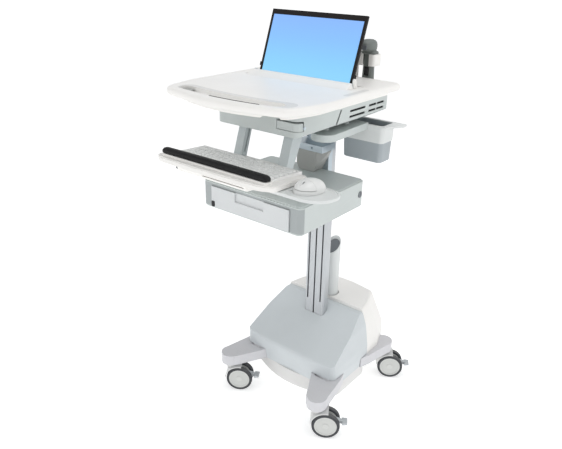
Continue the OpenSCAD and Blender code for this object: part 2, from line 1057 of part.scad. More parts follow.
// key widths of each row, in key pitches
key_rows = [
    [1.5, 1.25, 1.25, 7, 1.25, 1.25, 1, 1, 1, 1, 1, 1],
    [2.25, 1, 1, 1, 1, 1, 1, 1, 1, 1, 1, 2.25, 1, 1, 1, 1, 1],
    [1.75, 1, 1, 1, 1, 1, 1, 1, 1, 1, 1, 1, 1.75, 1, 1, 1, 1],
    [1.5, 1, 1, 1, 1, 1, 1, 1, 1, 1, 1, 1, 1.5, 1, 1, 1, 1.5],
    [1, 1, 1, 1, 1, 1, 1, 1, 1, 1, 1, 1, 1.5, 1.5, 1, 1, 1, 1],
    [1, 1, 1, 1, 1, 1, 1, 1, 1, 1, 1, 1, 1, 1, 1, 1, 1, 1, 1]
];
function run(w, n) = n <= 0 ? 0 : w[n - 1] + run(w, n - 1);

module keycaps()
    color(warm)
        on_tray()
            for (r = [0:5])
                let (total = run(key_rows[r], len(key_rows[r])), k = 364 / total, y = -464 + r * row_p + r * 0.6)
                for (i = [0:len(key_rows[r]) - 1])
                    let (x = -182 + run(key_rows[r], i) * k)
                    slab(x + 1, x + key_rows[r][i] * k - 1, y + 1, y + (r == 5 ? 13 : row_p - 1), 4.8 + r * 0.6,
                         8.8 + r * 0.6);

module mouse_tray()
    color(white)
        on_tray()
            union()
            {
                difference()
                {
                    up(-25, -17)
                        polygon(soft([
                            [0, -480, 4], [mouse_tray_end, -480, 62], [mouse_tray_end, -338, 62], [0, -338, 4]
                        ], 8));
                    up(-19, -16)
                        polygon(soft([
                            [230, -476, 20], [mouse_tray_end - 5, -476, 58],
                            [mouse_tray_end - 5, -342, 58], [230, -342, 20]
                        ], 8));
                }
            }

// domed shell of the mouse: a rounded plan cut from a ball
module mouse_form(g)
    intersection()
    {
        up(-18.8 + g, 30)
            rbox(234 + g, 296 - g, -450 + g, -350 - g, 29 - g);
        translate([265, -399, -74])
            sphere(r = 98 - g, $fn = 96);
    }

module mouse_body()
    color(warm)
        on_tray()
            difference()
            {
                mouse_form(0);
                // front third is the separate button shell
                slab(220, 310, -460, -414, -8, 40);
            }

module mouse_button()
    color(white)
        on_tray()
            difference()
            {
                intersection()
                {
                    mouse_form(0.3);
                    slab(220, 310, -460, -414.6, -6.4, 40);
                }
                // split between left and right keys, and the wheel opening
                slab(264.4, 265.6, -460, -418, 4, 40);
            }

// ---------------------------------------------------------------- laptop
module on_lid()
    cart()
        translate([0, hinge_y, hinge_z])
            rotate([-lid_tilt, 0, 0])
                children();

module laptop_base()
    color(dark)
        cart()
            difference()
            {
                union()
                {
                    slab(-lap_w / 2, lap_w / 2, -334, -101, 1165, 1183, 10);
                    // hinge knuckles
                    for (x = [-168, 152])
                    {
                        slab(x, x + 16, -104, hinge_y, 1170, hinge_z - 1);
                        rod_x(x, x + 16, hinge_y, hinge_z, 5);
                    }
                    for (x = [-152.5, 140])
                        rod_x(x, x + 12.5, hinge_y, hinge_z, 2);
                }
                // keyboard well and touch pad
                slab(-160, 160, -220, -118, 1181, 1185, 3);
                slab(-50, 50, -316, -236, 1182.2, 1185, 2);
            }

module laptop_lid()
    color(dark)
        on_lid()
            difference()
            {
                union()
                {
                    slab(-lap_w / 2, lap_w / 2, -4, 4, 8, lid_len, 0);
                    // hinge barrels
                    for (x = [-151.5, 131.5])
                    {
                        rod_x(x, x + 20, 0, 0, 4.6);
                        slab(x, x + 20, -2.5, 2.5, 0, 10);
                    }
                    // retaining clips on the side edges
                    for (x = [-lap_w / 2 - 3, lap_w / 2 - 7])
                        slab(x, x + 10, -6, 6, 40, 52);
                }
                slab(-171, 171, -5, -2.4, 12, 208);
                for (x = [-160, 138])
                    rod_x(x, x + 22, 0, 0, 2.05);
            }

module laptop_display()
    color([0.54, 0.77, 1.0])
        on_lid()
            slab(-170.6, 170.6, -3.8, -2.5, 12.4, 207.6);

// ---------------------------------------------------------------- bin and scanner
module bin_arm()
    color(cool)
        cart()
            difference()
            {
                union()
                {
                    up(1052, 1074)
                        polygon(soft([
                            [108, -208, 38], [190, -214, 38], [182, 21, 0], [104, 21, 0]
                        ], 7));
                    for (y = [-150, -40])
                        translate([136, y, 1074])
                            cylinder(r = 9, h = 9);
                }
                up(1050, 1070)
                    polygon(soft([
                        [112, -203, 34], [186, -209, 34], [178, 16, 0], [108, 16, 0]
                    ], 7));
            }

module bin_shape(g, z0, z1)
    intersection()
    {
        up(z0, z1)
            rbox(84 + g, 236 - g, 22 + g, 96 - g, 14 - g);
        along_y(0, 120)
            polygon([[88 + g, 944], [232 - g, 944], [236 - g, 1080], [84 + g, 1080]]);
        along_x(60, 260)
            polygon([[26 + g, 944], [91 - g, 944], [96 - g, 1080], [22 + g, 1080]]);
    }

module bin()
    color([0.72, 0.74, 0.76])
        cart()
            difference()
            {
                union()
                {
                    bin_shape(0, 945, 1066);
                    // collar round the upper part
                    bin_shape(-1.4, 1012, 1064);
                    // rim with a wing to the right
                    up(1062, 1068)
                        polygon(soft([
                            [100, 21, 4], [244, 21, 10], [280, 78, 10], [276, 106, 10], [110, 106, 10]
                        ], 5));
                }
                bin_shape(3, 948, 1080);
            }

module scanner_bracket()
    color(white)
        cart()
            difference()
            {
                union()
                {
                    // post on the back wall of the compartment
                    slab(64, 84, 94, 100, 1112, 1270, 2);
                    slab(64, 90, 94, 100, 1236, 1272, 2);
                    // open-fronted cradle round the scanner grip
                    up(1236, 1272)
                        translate([118, 104])
                            rbox(-32, 32, -24, 24, 10);
                }
                up(1230, 1280)
                    translate([118, 104])
                        rbox(-26, 26, -18, 18, 6);
                slab(106, 130, 70, 90, 1230, 1280);
            }

module scanner()
    color(shade)
        cart()
            difference()
            {
                union()
                {
                    // grip
                    intersection()
                    {
                        up(1187, 1276)
                            translate([118, 104])
                                rbox(-21, 21, -15, 15, 8);
                        along_x(80, 160)
                            polygon(soft([[88, 1187, 4], [118, 1187, 4], [120, 1277, 0], [86, 1277, 0]], 3));
                    }
                    // collar that sits on the cradle
                    up(1272.4, 1280)
                        translate([118, 104])
                            rbox(-29, 29, -21, 21, 8);
                    // head
                    intersection()
                    {
                        up(1276, 1316)
                            translate([118, 96])
                                rbox(-25, 25, -44, 34, 10);
                        along_y(40, 140)
                            polygon(soft([
                                [93, 1276, 0], [92, 1304, 14], [104, 1316, 10], [132, 1316, 10],
                                [144, 1304, 14], [143, 1276, 0]
                            ], 4));
                    }
                }
                // scan window
                slab(100, 136, 48, 55, 1284, 1308);
                // trigger pocket
                slab(110, 126, 80, 94, 1205, 1232);
            }

module scanner_trigger()
    color(dark)
        cart()
            slab(111, 125, 86, 92, 1206, 1231, 2);

// ---------------------------------------------------------------- output
base_frame();
caster_stems();
lower_tub();
front_cover();
rear_cover();
battery();
power_module();
power_inlet();
power_switch();
cord_tube();
column();
column_foot();
foot_bolts();
column_cap();
lift_rod();
caster_fl();
tyres_fl();
hubs_fl();
pedal_fl();
caster_fr();
tyres_fr();
hubs_fr();
pedal_fr();
caster_rl();
tyres_rl();
hubs_rl();
pedal_rl();
caster_rr();
tyres_rr();
hubs_rr();
pedal_rr();
carriage();
lift_tube();
neck_cover();
drawer_housing();
drawer_rails();
struts();
compartment();
worksurface();
bin_arm();
bin();
scanner_bracket();
lift_lever();
drawer_tray();
drawer_front();
drawer_latch();
side_lock();
keyboard_tray();
tilt_knob();
palm_rest();
keyboard();
keycaps();
mouse_tray();
mouse_body();
mouse_button();
laptop_base();
laptop_lid();
laptop_display();
scanner();
scanner_trigger();
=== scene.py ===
import json
import math

import bmesh
import bpy
from mathutils import Matrix, Vector

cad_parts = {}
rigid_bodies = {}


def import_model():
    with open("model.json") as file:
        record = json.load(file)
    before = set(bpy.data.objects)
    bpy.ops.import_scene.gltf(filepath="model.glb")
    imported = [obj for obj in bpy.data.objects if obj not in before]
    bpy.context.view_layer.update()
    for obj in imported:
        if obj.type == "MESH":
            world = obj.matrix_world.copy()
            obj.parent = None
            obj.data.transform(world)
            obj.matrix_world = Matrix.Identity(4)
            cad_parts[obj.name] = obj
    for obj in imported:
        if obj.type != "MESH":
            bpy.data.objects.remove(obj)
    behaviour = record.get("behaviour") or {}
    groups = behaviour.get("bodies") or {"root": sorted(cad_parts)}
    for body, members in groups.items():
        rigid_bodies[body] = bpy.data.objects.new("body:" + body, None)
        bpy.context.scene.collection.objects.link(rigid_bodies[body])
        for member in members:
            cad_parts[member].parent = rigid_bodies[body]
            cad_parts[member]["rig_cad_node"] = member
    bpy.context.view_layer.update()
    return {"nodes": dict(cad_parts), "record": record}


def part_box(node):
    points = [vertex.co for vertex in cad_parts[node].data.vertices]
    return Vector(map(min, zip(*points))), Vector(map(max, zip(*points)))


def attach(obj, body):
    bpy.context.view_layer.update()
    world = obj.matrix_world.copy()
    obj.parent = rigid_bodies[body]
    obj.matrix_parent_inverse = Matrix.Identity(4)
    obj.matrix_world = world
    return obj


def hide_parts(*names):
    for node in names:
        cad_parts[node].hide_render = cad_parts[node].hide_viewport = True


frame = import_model()
NODES = frame["nodes"]

# Millimetres in the part's drawing, whose origin is not the row frame's: MID is the cart's middle.
MID_X, MID_Y = 47.0, -112.914
TRAY_Y, TRAY_Z, TRAY_TILT = -425.0, 1000.0, math.radians(-5)
WORK_Z = 1200.0                                     # top of the worksurface
FRONT_BOW = 1840.0                                  # its front edge falls back by x squared / this
SLOT_FRONT, SLOT_BACK, SLOT_HALF = -463.0, -422.0, 172.0
HOUSE_HALF, HOUSE_FRONT, HOUSE_Z0, HOUSE_Z1 = 198, -345, 802, 893
DEEP = 1150                                         # cutters through the worksurface start here


def place(p):
    """A point of the drawing, in millimetres, as a point of the row frame, in metres."""
    return Vector(((p[0] - MID_X) / 1000, (p[1] - MID_Y) / 1000, p[2] / 1000))


def on_tray(p):
    """A point given on the tilted keyboard tray, as a point of the drawing."""
    c, s = math.cos(TRAY_TILT), math.sin(TRAY_TILT)
    d = p[1] - TRAY_Y
    return (p[0], TRAY_Y + d * c - p[2] * s, TRAY_Z + d * s + p[2] * c)


# ---------------------------------------------------------------- outlines
def soft(corners, n=6):
    """A closed outline through corners (x, y, radius), each turned into an arc of n steps."""
    out = []
    m = len(corners)
    for i, (x, y, r) in enumerate(corners):
        p = Vector((x, y))
        a = Vector(corners[i - 1][:2]) - p
        b = Vector(corners[(i + 1) % m][:2]) - p
        if r <= 0:
            out.append(p)
            continue
        u, w = a.normalized(), b.normalized()
        half = math.acos(max(-1, min(1, u.dot(w)))) / 2
        o = p + (u + w).normalized() * (r / math.sin(half))
        s = p + u * (r / math.tan(half)) - o
        e = p + w * (r / math.tan(half)) - o
        a0, a1 = math.atan2(s.y, s.x), math.atan2(e.y, e.x)
        d = (a1 - a0 + math.pi) % (2 * math.pi) - math.pi
        out += [o + r * Vector((math.cos(a0 + d * k / n), math.sin(a0 + d * k / n))) for k in range(n + 1)]
    return out


def both(half):
    """The whole outline from its right half, given from the centre line outwards and back."""
    return half + [(-x, y, r) for x, y, r in reversed(half)]


def rect(x0, x1, y0, y1, r):
    """The corners of a rectangle, all rounded by r."""
    return [(x0, y0, r), (x1, y0, r), (x1, y1, r), (x0, y1, r)]


# ---------------------------------------------------------------- meshes
def new_object(name, bm, where=None):
    """An object from bm, whose points are in the drawing or in the part of it that where maps."""
    for v in bm.verts:
        v.co = place(where(v.co) if where else v.co)
    bmesh.ops.recalc_face_normals(bm, faces=bm.faces)
    mesh = bpy.data.meshes.new(name)
    bm.to_mesh(mesh)
    bm.free()
    o = bpy.data.objects.new(name, mesh)
    bpy.context.scene.collection.objects.link(o)
    return o


def loft_into(bm, rings, close=True):
    """Skin through rings of equally many points, with both ends closed unless told otherwise."""
    rows = [[bm.verts.new(p) for p in ring] for ring in rings]
    n = len(rows[0])
    for a, b in zip(rows, rows[1:]):
        for i in range(n):
            bm.faces.new((a[i], a[(i + 1) % n], b[(i + 1) % n], b[i]))
    if close:
        bm.faces.new(list(reversed(rows[0])))
        bm.faces.new(rows[-1])


def loft(name, rings, where=None):
    """A closed skin through rings, as a new object."""
    bm = bmesh.new()
    loft_into(bm, rings)
    return new_object(name, bm, where)


def level(outline, z):
    """outline as a ring at height z."""
    return [(p[0], p[1], z) for p in outline]


def prism_rings(outline, z0, z1):
    """The two rings of an upright prism on outline."""
    return [level(outline, z0), level(outline, z1)]


def modifier(o, kind, **values):
    """Adds a modifier of the kind, with its values set."""
    m = o.modifiers.new(kind.title(), kind)
    for k, v in values.items():
        setattr(m, k, v)
    return m


def settle(o):
    """Turns the object's modifiers into mesh."""
    dg = bpy.context.evaluated_depsgraph_get()
    mesh = bpy.data.meshes.new_from_object(o.evaluated_get(dg))
    o.modifiers.clear()
    o.data = mesh


def cut(o, cutters):
    """Takes the cutters away from o."""
    for c in cutters:
        modifier(o, "BOOLEAN", operation="DIFFERENCE", solver="EXACT", object=c)
    settle(o)
    for c in cutters:
        bpy.data.objects.remove(c)


def keep_within(o, region):
    """Keeps what lies inside region, and takes region away."""
    modifier(o, "BOOLEAN", operation="INTERSECT", solver="EXACT", object=region)
    settle(o)
    bpy.data.objects.remove(region)


def smooth(o, angle):
    """Shades o smoothly, with edges over angle left sharp."""
    for p in o.data.polygons:
        p.use_smooth = True
    o.data.set_sharp_from_angle(angle=math.radians(angle))
    return o


def rounded(o, width, segments, angle):
    """Rounds the sharp edges, and shades the result smoothly."""
    modifier(o, "BEVEL", width=width / 1000, segments=segments, limit_method="ANGLE",
             angle_limit=math.radians(angle), harden_normals=False, use_clamp_overlap=True)
    for p in o.data.polygons:
        p.use_smooth = True
    modifier(o, "WEIGHTED_NORMAL", keep_sharp=False, weight=80)


def finish_cad(name, width, angle=30):
    """A CAD node keeps its mesh; its edges are rounded by modifiers. The carriage keeps every
    facet, because the gas spring's rod passes close by inside it."""
    o = NODES[name]
    modifier(o, "WELD", merge_threshold=2e-5)
    if name != "carriage":
        modifier(o, "DECIMATE", decimate_type="DISSOLVE", angle_limit=math.radians(1.5))
    modifier(o, "BEVEL", width=width / 1000, segments=2, limit_method="ANGLE",
             angle_limit=math.radians(angle), use_clamp_overlap=True)
    modifier(o, "WEIGHTED_NORMAL", keep_sharp=False, weight=60)


# ---------------------------------------------------------------- materials
BLACK, WHITE = (0, 0, 0), (1, 1, 1)
DUST_COLOUR = (0.42, 0.41, 0.39)
CORNER_DARKENING = 0.28                                        # how dark the inner corners get


def node(nt, kind, links=(), **values):
    """A shader node with values on its inputs or settings, and links from (socket, input)."""
    n = nt.nodes.new(kind)
    for k, v in values.items():
        if k in n.inputs:
            n.inputs[k].default_value = v
        else:
            setattr(n, k, v)
    for out, key in links:
        nt.links.new(out, n.inputs[key])
    return n


def ramp(nt, source, stops):
    """source through a colour ramp with stops (position, colour)."""
    n = nt.nodes.new("ShaderNodeValToRGB")
    n.color_ramp.elements.remove(n.color_ramp.elements[1])
    for i, (at, col) in enumerate(stops):
        e = n.color_ramp.elements[0] if i == 0 else n.color_ramp.elements.new(at)
        e.position = at
        e.color = (*col, 1)
    nt.links.new(source, n.inputs["Fac"])
    return n


def shade(c, k):
    """Colour c made k times as bright."""
    return tuple(max(0, min(1, x * k)) for x in c)


def times(nt, a, b):
    """a x b, where b is a socket or a number."""
    n = node(nt, "ShaderNodeMath", [(a, 0)], operation="MULTIPLY")
    if isinstance(b, float):
        n.inputs[1].default_value = b
    else:
        nt.links.new(b, n.inputs[1])
    return n.outputs[0]


def over(nt, base, colour, amount):
    """colour laid over base by amount."""
    n = node(nt, "ShaderNodeMix", [(amount, 0), (base, 6)], data_type="RGBA")
    n.inputs[7].default_value = (*colour, 1)
    return n.outputs[2]


def plastic(name, colour, rough=0.42, grain=900, grain_depth=0.04, vary=0.04, wear=0.25,
            wear_colour=None, dust=0.0, metal=0.0, streak=None, coat=0.0, speckle=0.0, shine=0.5):
    """Moulded or painted surface: slow colour drift, fine grain, edges that catch wear, and
    roughness that changes where hands and cloths have been."""
    m = bpy.data.materials.new(name)
    m.use_nodes = True
    m.diffuse_color = (*colour, 1)
    nt = m.node_tree
    nt.nodes.clear()
    out = node(nt, "ShaderNodeOutputMaterial")
    bsdf = node(nt, "ShaderNodeBsdfPrincipled")
    nt.links.new(bsdf.outputs[0], out.inputs[0])
    bsdf.inputs["Metallic"].default_value = metal
    bsdf.inputs["Specular IOR Level"].default_value = shine
    bsdf.inputs["Coat Weight"].default_value = coat
    bsdf.inputs["Coat Roughness"].default_value = 0.25
    pos = node(nt, "ShaderNodeTexCoord").outputs["Object"]
    fine_at = pos
    if streak:
        fine_at = node(nt, "ShaderNodeMapping", [(pos, "Vector")], Scale=streak).outputs[0]
    slow = node(nt, "ShaderNodeTexNoise", [(pos, "Vector")], Scale=9.0, Detail=4.0, Roughness=0.6)
    fine = node(nt, "ShaderNodeTexNoise", [(fine_at, "Vector")], Scale=float(grain), Detail=2.0,
                Roughness=0.5)
    smear = node(nt, "ShaderNodeTexNoise", [(pos, "Vector")], Scale=34.0, Detail=5.0,
                 Roughness=0.7, Distortion=0.8)
    base = ramp(nt, slow.outputs[0], [(0.3, shade(colour, 1 - vary)),
                                      (0.7, shade(colour, 1 + vary * 0.5))]).outputs[0]
    if speckle:
        specks = ramp(nt, fine.outputs[0], [(0.44, BLACK), (0.62, WHITE)])
        base = over(nt, base, shade(colour, 1 - speckle), specks.outputs[0])
    geo = node(nt, "ShaderNodeNewGeometry")
    edge = ramp(nt, geo.outputs["Pointiness"], [(0.52, BLACK), (0.60, WHITE)])
    worn = times(nt, times(nt, edge.outputs[0], smear.outputs[0]), wear)
    base = over(nt, base, wear_colour or shade(colour, 1.25), worn)
    # Inner corners take a darker copy of the colour.
    hollow = ramp(nt, geo.outputs["Pointiness"], [(0.40, WHITE), (0.49, BLACK)])
    base = over(nt, base, shade(colour, 0.55), times(nt, hollow.outputs[0], CORNER_DARKENING))
    if dust:
        sep = node(nt, "ShaderNodeSeparateXYZ", [(geo.outputs["Normal"], 0)])
        upward = ramp(nt, sep.outputs[2], [(0.4, BLACK), (1.0, WHITE)])
        settled = times(nt, times(nt, upward.outputs[0], smear.outputs[0]), dust)
        base = over(nt, base, DUST_COLOUR, settled)
    nt.links.new(base, bsdf.inputs["Base Color"])
    r = node(nt, "ShaderNodeMapRange", [(smear.outputs[0], 0)])
    r.inputs["From Min"].default_value, r.inputs["From Max"].default_value = 0.3, 0.7
    r.inputs["To Min"].default_value = rough * 0.82
    r.inputs["To Max"].default_value = min(1, rough * 1.22)
    nt.links.new(r.outputs[0], bsdf.inputs["Roughness"])
    swell = node(nt, "ShaderNodeBump", [(slow.outputs[0], "Height")], Strength=0.05, Distance=0.002)
    bump = node(nt, "ShaderNodeBump", [(fine.outputs[0], "Height"), (swell.outputs[0], "Normal")],
                Strength=1.0, Distance=grain_depth / 1000)
    nt.links.new(bump.outputs[0], bsdf.inputs["Normal"])
    return m


def vinyl(name, colour):
    """Foam pad's skin: pebbled grain with soft creases."""
    m = plastic(name, colour, rough=0.5, grain=700, grain_depth=0.02, vary=0.15, wear=0.1)
    nt = m.node_tree
    bsdf = next(n for n in nt.nodes if n.type == "BSDF_PRINCIPLED")
    pos = next(n for n in nt.nodes if n.type == "TEX_COORD").outputs["Object"]
    pebble = node(nt, "ShaderNodeTexVoronoi", [(pos, "Vector")], Scale=650.0, feature="DISTANCE_TO_EDGE")
    old = bsdf.inputs["Normal"].links[0].from_socket
    bump = node(nt, "ShaderNodeBump", [(pebble.outputs[0], "Height"), (old, "Normal")],
                Strength=0.9, Distance=0.00025)
    nt.links.new(bump.outputs[0], bsdf.inputs["Normal"])
    bsdf.inputs["Specular IOR Level"].default_value = 0.25
    return m


def screen(name):
    """Lit screen: a plain vertical fade from periwinkle to sky blue with fine pixel rows."""
    m = bpy.data.materials.new(name)
    m.use_nodes = True
    nt = m.node_tree
    bsdf = nt.nodes["Principled BSDF"]
    geo = node(nt, "ShaderNodeTexCoord")
    low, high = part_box("laptop_display")
    sep = node(nt, "ShaderNodeSeparateXYZ", [(geo.outputs["Object"], 0)])
    height = node(nt, "ShaderNodeMapRange", [(sep.outputs[2], 0)])
    height.inputs["From Min"].default_value, height.inputs["From Max"].default_value = low.z, high.z
    fade = ramp(nt, height.outputs[0], [(0.0, (0.26, 0.68, 0.98)), (0.3, (0.24, 0.62, 0.98)),
                                        (0.65, (0.235, 0.53, 0.98)), (1.0, (0.24, 0.47, 0.98))])
    rows = node(nt, "ShaderNodeTexWave", [(geo.outputs["Object"], 0)], Scale=900.0, bands_direction="Z")
    glow = over(nt, fade.outputs[0], (0.2, 0.5, 1), times(nt, rows.outputs[1], 0.06))
    bsdf.inputs["Base Color"].default_value = (0.02, 0.03, 0.05, 1)
    nt.links.new(glow, bsdf.inputs["Emission Color"])
    bsdf.inputs["Emission Strength"].default_value = 0.96
    bsdf.inputs["Roughness"].default_value = 0.35
    return m


# Every moulded, painted or metal surface, by name. Record slots keep their names; the rest are tones
# of a slot that the cart shows on one piece or another, apart from the few noted below that paint shade,
# light or a reflection.
LOOKS = {
    "leg_paint": dict(colour=(0.66, 0.66, 0.685), rough=0.38, grain=1100, grain_depth=0.03,
                      wear=0.3, dust=0.15),
    "steel": dict(colour=(0.55, 0.62, 0.67), rough=0.34, grain=1300, grain_depth=0.02, metal=0.6,
                  streak=(1.0, 1.0, 0.04), wear=0.2),
    "white_shell": dict(colour=(0.90, 0.887, 0.86), rough=0.42, grain=1000, grain_depth=0.03,
                        vary=0.02, wear=0.1),
    "tub_shell": dict(colour=(0.78, 0.775, 0.765), rough=0.45, grain=1000, grain_depth=0.03,
                      vary=0.02, wear=0.15),
    # Painted reflection: the dark grey of the skin round the drawer housing's front.
    "reflection_grey": dict(colour=(0.37, 0.40, 0.405), rough=0.42, grain=1000, grain_depth=0.035,
                        vary=0.03, wear=0.15),
    "line_shell": dict(colour=(0.60, 0.61, 0.61), rough=0.45, grain=1000, grain_depth=0.03,
                       vary=0.03, wear=0.1),
    "band_shell": dict(colour=(0.74, 0.735, 0.715), rough=0.45, grain=1000, grain_depth=0.03,
                       vary=0.02, wear=0.1),
    "tray_shell": dict(colour=(0.74, 0.765, 0.76), rough=0.42, grain=1000, grain_depth=0.03,
                       vary=0.02, wear=0.1),
    "grey_shell": dict(colour=(0.575, 0.62, 0.61), rough=0.42, grain=1000, grain_depth=0.035,
                       vary=0.03, wear=0.15),
    "drawer_shell": dict(colour=(0.63, 0.65, 0.66), rough=0.42, grain=1000, grain_depth=0.03,
                         vary=0.02, wear=0.15),
    # Painted light: a brighter copy of the keyboard's white that lifts the shade between its keys.
    "keyboard_lit_white": dict(colour=(0.90, 0.90, 0.89), rough=0.5, grain=1000, grain_depth=0.03,
                       vary=0.02, wear=0.05),
    # Painted shade: a darker grey for the neck cover, which sits in shade under the compartment, and for the
    # hand slot's left end.
    "shade_grey": dict(colour=(0.40, 0.405, 0.39), rough=0.42, grain=1000, grain_depth=0.035,
                       vary=0.03, wear=0.15),
    "cover_shell": dict(colour=(0.63, 0.67, 0.69), rough=0.36, grain=1000, grain_depth=0.03,
                        vary=0.025, wear=0.12, coat=0.05),
    "black_plastic": dict(colour=(0.02, 0.02, 0.022), rough=0.5, grain=900, grain_depth=0.05,
                          vary=0.1, wear=0.3, wear_colour=(0.10, 0.10, 0.10), dust=0.05, shine=0.3),
    "module_metal": dict(colour=(0.45, 0.47, 0.49), rough=0.4, grain=800, grain_depth=0.06,
                         metal=0.9),
    "white_trim": dict(colour=(0.80, 0.81, 0.80), rough=0.4, grain=1100, grain_depth=0.03,
                       vary=0.03, wear=0.1),
    "keycap_plastic": dict(colour=(0.90, 0.91, 0.90), rough=0.45, grain=1500, grain_depth=0.02,
                           vary=0.03, wear=0.3, wear_colour=(0.9, 0.9, 0.9)),
    "column_aluminium": dict(colour=(0.55, 0.57, 0.59), rough=0.38, grain=1500, grain_depth=0.015,
                             metal=0.45, streak=(1.0, 1.0, 0.02), wear=0.2),
    "dark_trim": dict(colour=(0.17, 0.185, 0.20), rough=0.45, grain=900, grain_depth=0.05,
                      vary=0.06, wear=0.3, dust=0.08),
    "hood_trim": dict(colour=(0.70, 0.705, 0.70), rough=0.4, grain=1000, grain_depth=0.03,
                      vary=0.04, wear=0.2, dust=0.1),
    "hub_trim": dict(colour=(0.66, 0.67, 0.65), rough=0.42, grain=1000, grain_depth=0.04, vary=0.04,
                     wear=0.2, dust=0.1),
    "pedal_trim": dict(colour=(0.52, 0.55, 0.57), rough=0.45, grain=900, grain_depth=0.05,
                       vary=0.06, wear=0.4, dust=0.15),
    "tyre": dict(colour=(0.075, 0.078, 0.085), rough=0.7, grain=500, grain_depth=0.15, vary=0.2,
                 wear=0.5, wear_colour=(0.18, 0.18, 0.18), dust=0.35, speckle=0.2, shine=0.3),
    "strut_paint": dict(colour=(0.56, 0.61, 0.62), rough=0.4, grain=1000, grain_depth=0.03,
                        wear=0.2),
    "bin_plastic": dict(colour=(0.38, 0.42, 0.445), rough=0.36, grain=1000, grain_depth=0.03,
                        wear=0.15),
    "collar_plastic": dict(colour=(0.74, 0.76, 0.755), rough=0.38, grain=1000, grain_depth=0.03,
                           wear=0.15),
    "laptop_shell": dict(colour=(0.011, 0.009, 0.009), rough=0.45, grain=1400, grain_depth=0.02,
                         vary=0.1, wear=0.15, wear_colour=(0.06, 0.055, 0.055), shine=0.2),
    "scanner_shell": dict(colour=(0.155, 0.175, 0.165), rough=0.42, grain=900, grain_depth=0.05,
                          vary=0.08, wear=0.4, wear_colour=(0.4, 0.42, 0.42)),
    "slot_shadow": dict(colour=(0.015, 0.015, 0.018), rough=0.6, grain=900, grain_depth=0.05,
                        wear=0.1, shine=0.2),
}
MAT = {name: plastic(name, **look) for name, look in LOOKS.items()}
MAT["palm_pad"] = vinyl("palm_pad", (0.008, 0.008, 0.009))
MAT["display"] = screen("display")
SLOT = {s["node"]: s["material_slot"] for s in frame["record"]["subparts"]}


def dress(o, name):
    """Gives o the look called name."""
    o.data.materials.clear()
    o.data.materials.append(MAT[name])


def dress_cad():
    """Every CAD node wears its slot's look, apart from a few whose tone differs from it. The neck cover's
    darker grey is painted shade and the keyboard's brighter white is painted light.
    """
    special = {"front_cover": "cover_shell", "mouse_tray": "tray_shell", "cord_tube": "tray_shell",
               "neck_cover": "shade_grey", "drawer_front": "drawer_shell", "keyboard": "keyboard_lit_white"}
    for corner in ("fl", "fr", "rl", "rr"):
        special.update({f"pedal_{corner}": "pedal_trim", f"caster_{corner}": "hood_trim",
                        f"hubs_{corner}": "hub_trim"})
    for name, o in NODES.items():
        dress(o, special.get(name, SLOT[name]))


# ---------------------------------------------------------------- keyboard
KEYS_LEFT, KEYS_WIDTH, KEYS_FRONT, KEYS_Z = -182.0, 364.0, -463.0, 4.8
ROW_PITCH, ROW_RISE, KEY_DEPTH, TOP_KEY_DEPTH, KEY_GAP = 20.0, 0.6, 17.4, 12.0, 0.45
# Widths of the keys in each row, front row first, in units that fill the width.
KEY_ROWS = [
    [1.5, 1.25, 1.25, 7, 1.25, 1.25] + [1] * 6,
    [2.25] + [1] * 10 + [2.25] + [1] * 5,
    [1.75] + [1] * 11 + [1.75] + [1] * 4,
    [1.5] + [1] * 11 + [1.5] + [1] * 3 + [1.5],
    [1] * 12 + [1.5, 1.5] + [1] * 4,
    [1] * 19,
]
# One cap from its skirt to the dish in its top: height, inset and corner radius.
CAP_PROFILE = [(0, 0, 1.2), (0.6, 0, 1.2), (3.2, 1.1, 1.8), (3.8, 1.5, 1.9), (4.0, 2.1, 1.6),
               (3.75, 4.4, 0.8)]


def keycaps():
    """Low tapered caps with dished tops, one mesh."""
    bm = bmesh.new()
    for r, row in enumerate(KEY_ROWS):
        unit = KEYS_WIDTH / sum(row)
        y0 = KEYS_FRONT + r * ROW_PITCH
        y1 = y0 + (TOP_KEY_DEPTH if row is KEY_ROWS[-1] else KEY_DEPTH)
        x = KEYS_LEFT
        for w in row:
            x0, x1 = x + KEY_GAP, x + w * unit - KEY_GAP
            x += w * unit
            loft_into(bm, [level(soft(rect(x0 + g, x1 - g, y0 + g, y1 - g, r_corner), 3),
                                 KEYS_Z + r * ROW_RISE + up) for up, g, r_corner in CAP_PROFILE])
    o = smooth(new_object("keycap_set", bm, on_tray), 50)
    dress(o, "keycap_plastic")
    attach(o, "keys")
    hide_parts("keycaps")


PAD_LEFT, PAD_LENGTH, PAD_STEPS = -204.5, 404.0, 60
PAD_Y, PAD_FLOOR = -492.0, 6.6                      # middle and underside of the pad, on the tray
PAD_SECTION = [(-508, 6.6, 2.5), (-508.5, 18.5, 6), (-500, 24.5, 7), (-485, 23.5, 7), (-477, 16, 4),
               (-477, 6.6, 2.5)]
PAD_SWELL = 0.0022                                  # metres the cloth run may move a point


def pad_blank():
    """Rings of the pad's section along its length, drawn in at both ends."""
    section = soft(PAD_SECTION, 5)
    middle = PAD_LEFT + PAD_LENGTH / 2
    rings = []
    for i in range(PAD_STEPS + 1):
        x = PAD_LEFT + PAD_LENGTH * i / PAD_STEPS
        end = max(0.0, abs(x - middle) - 191.5) / 10.6
        k = math.sqrt(max(0.0, 1 - end * end)) * 0.35 + 0.65
        rings.append([(x, PAD_Y + (p.x - PAD_Y) * k, PAD_FLOOR + (p.y - PAD_FLOOR) * k) for p in section])
    return rings


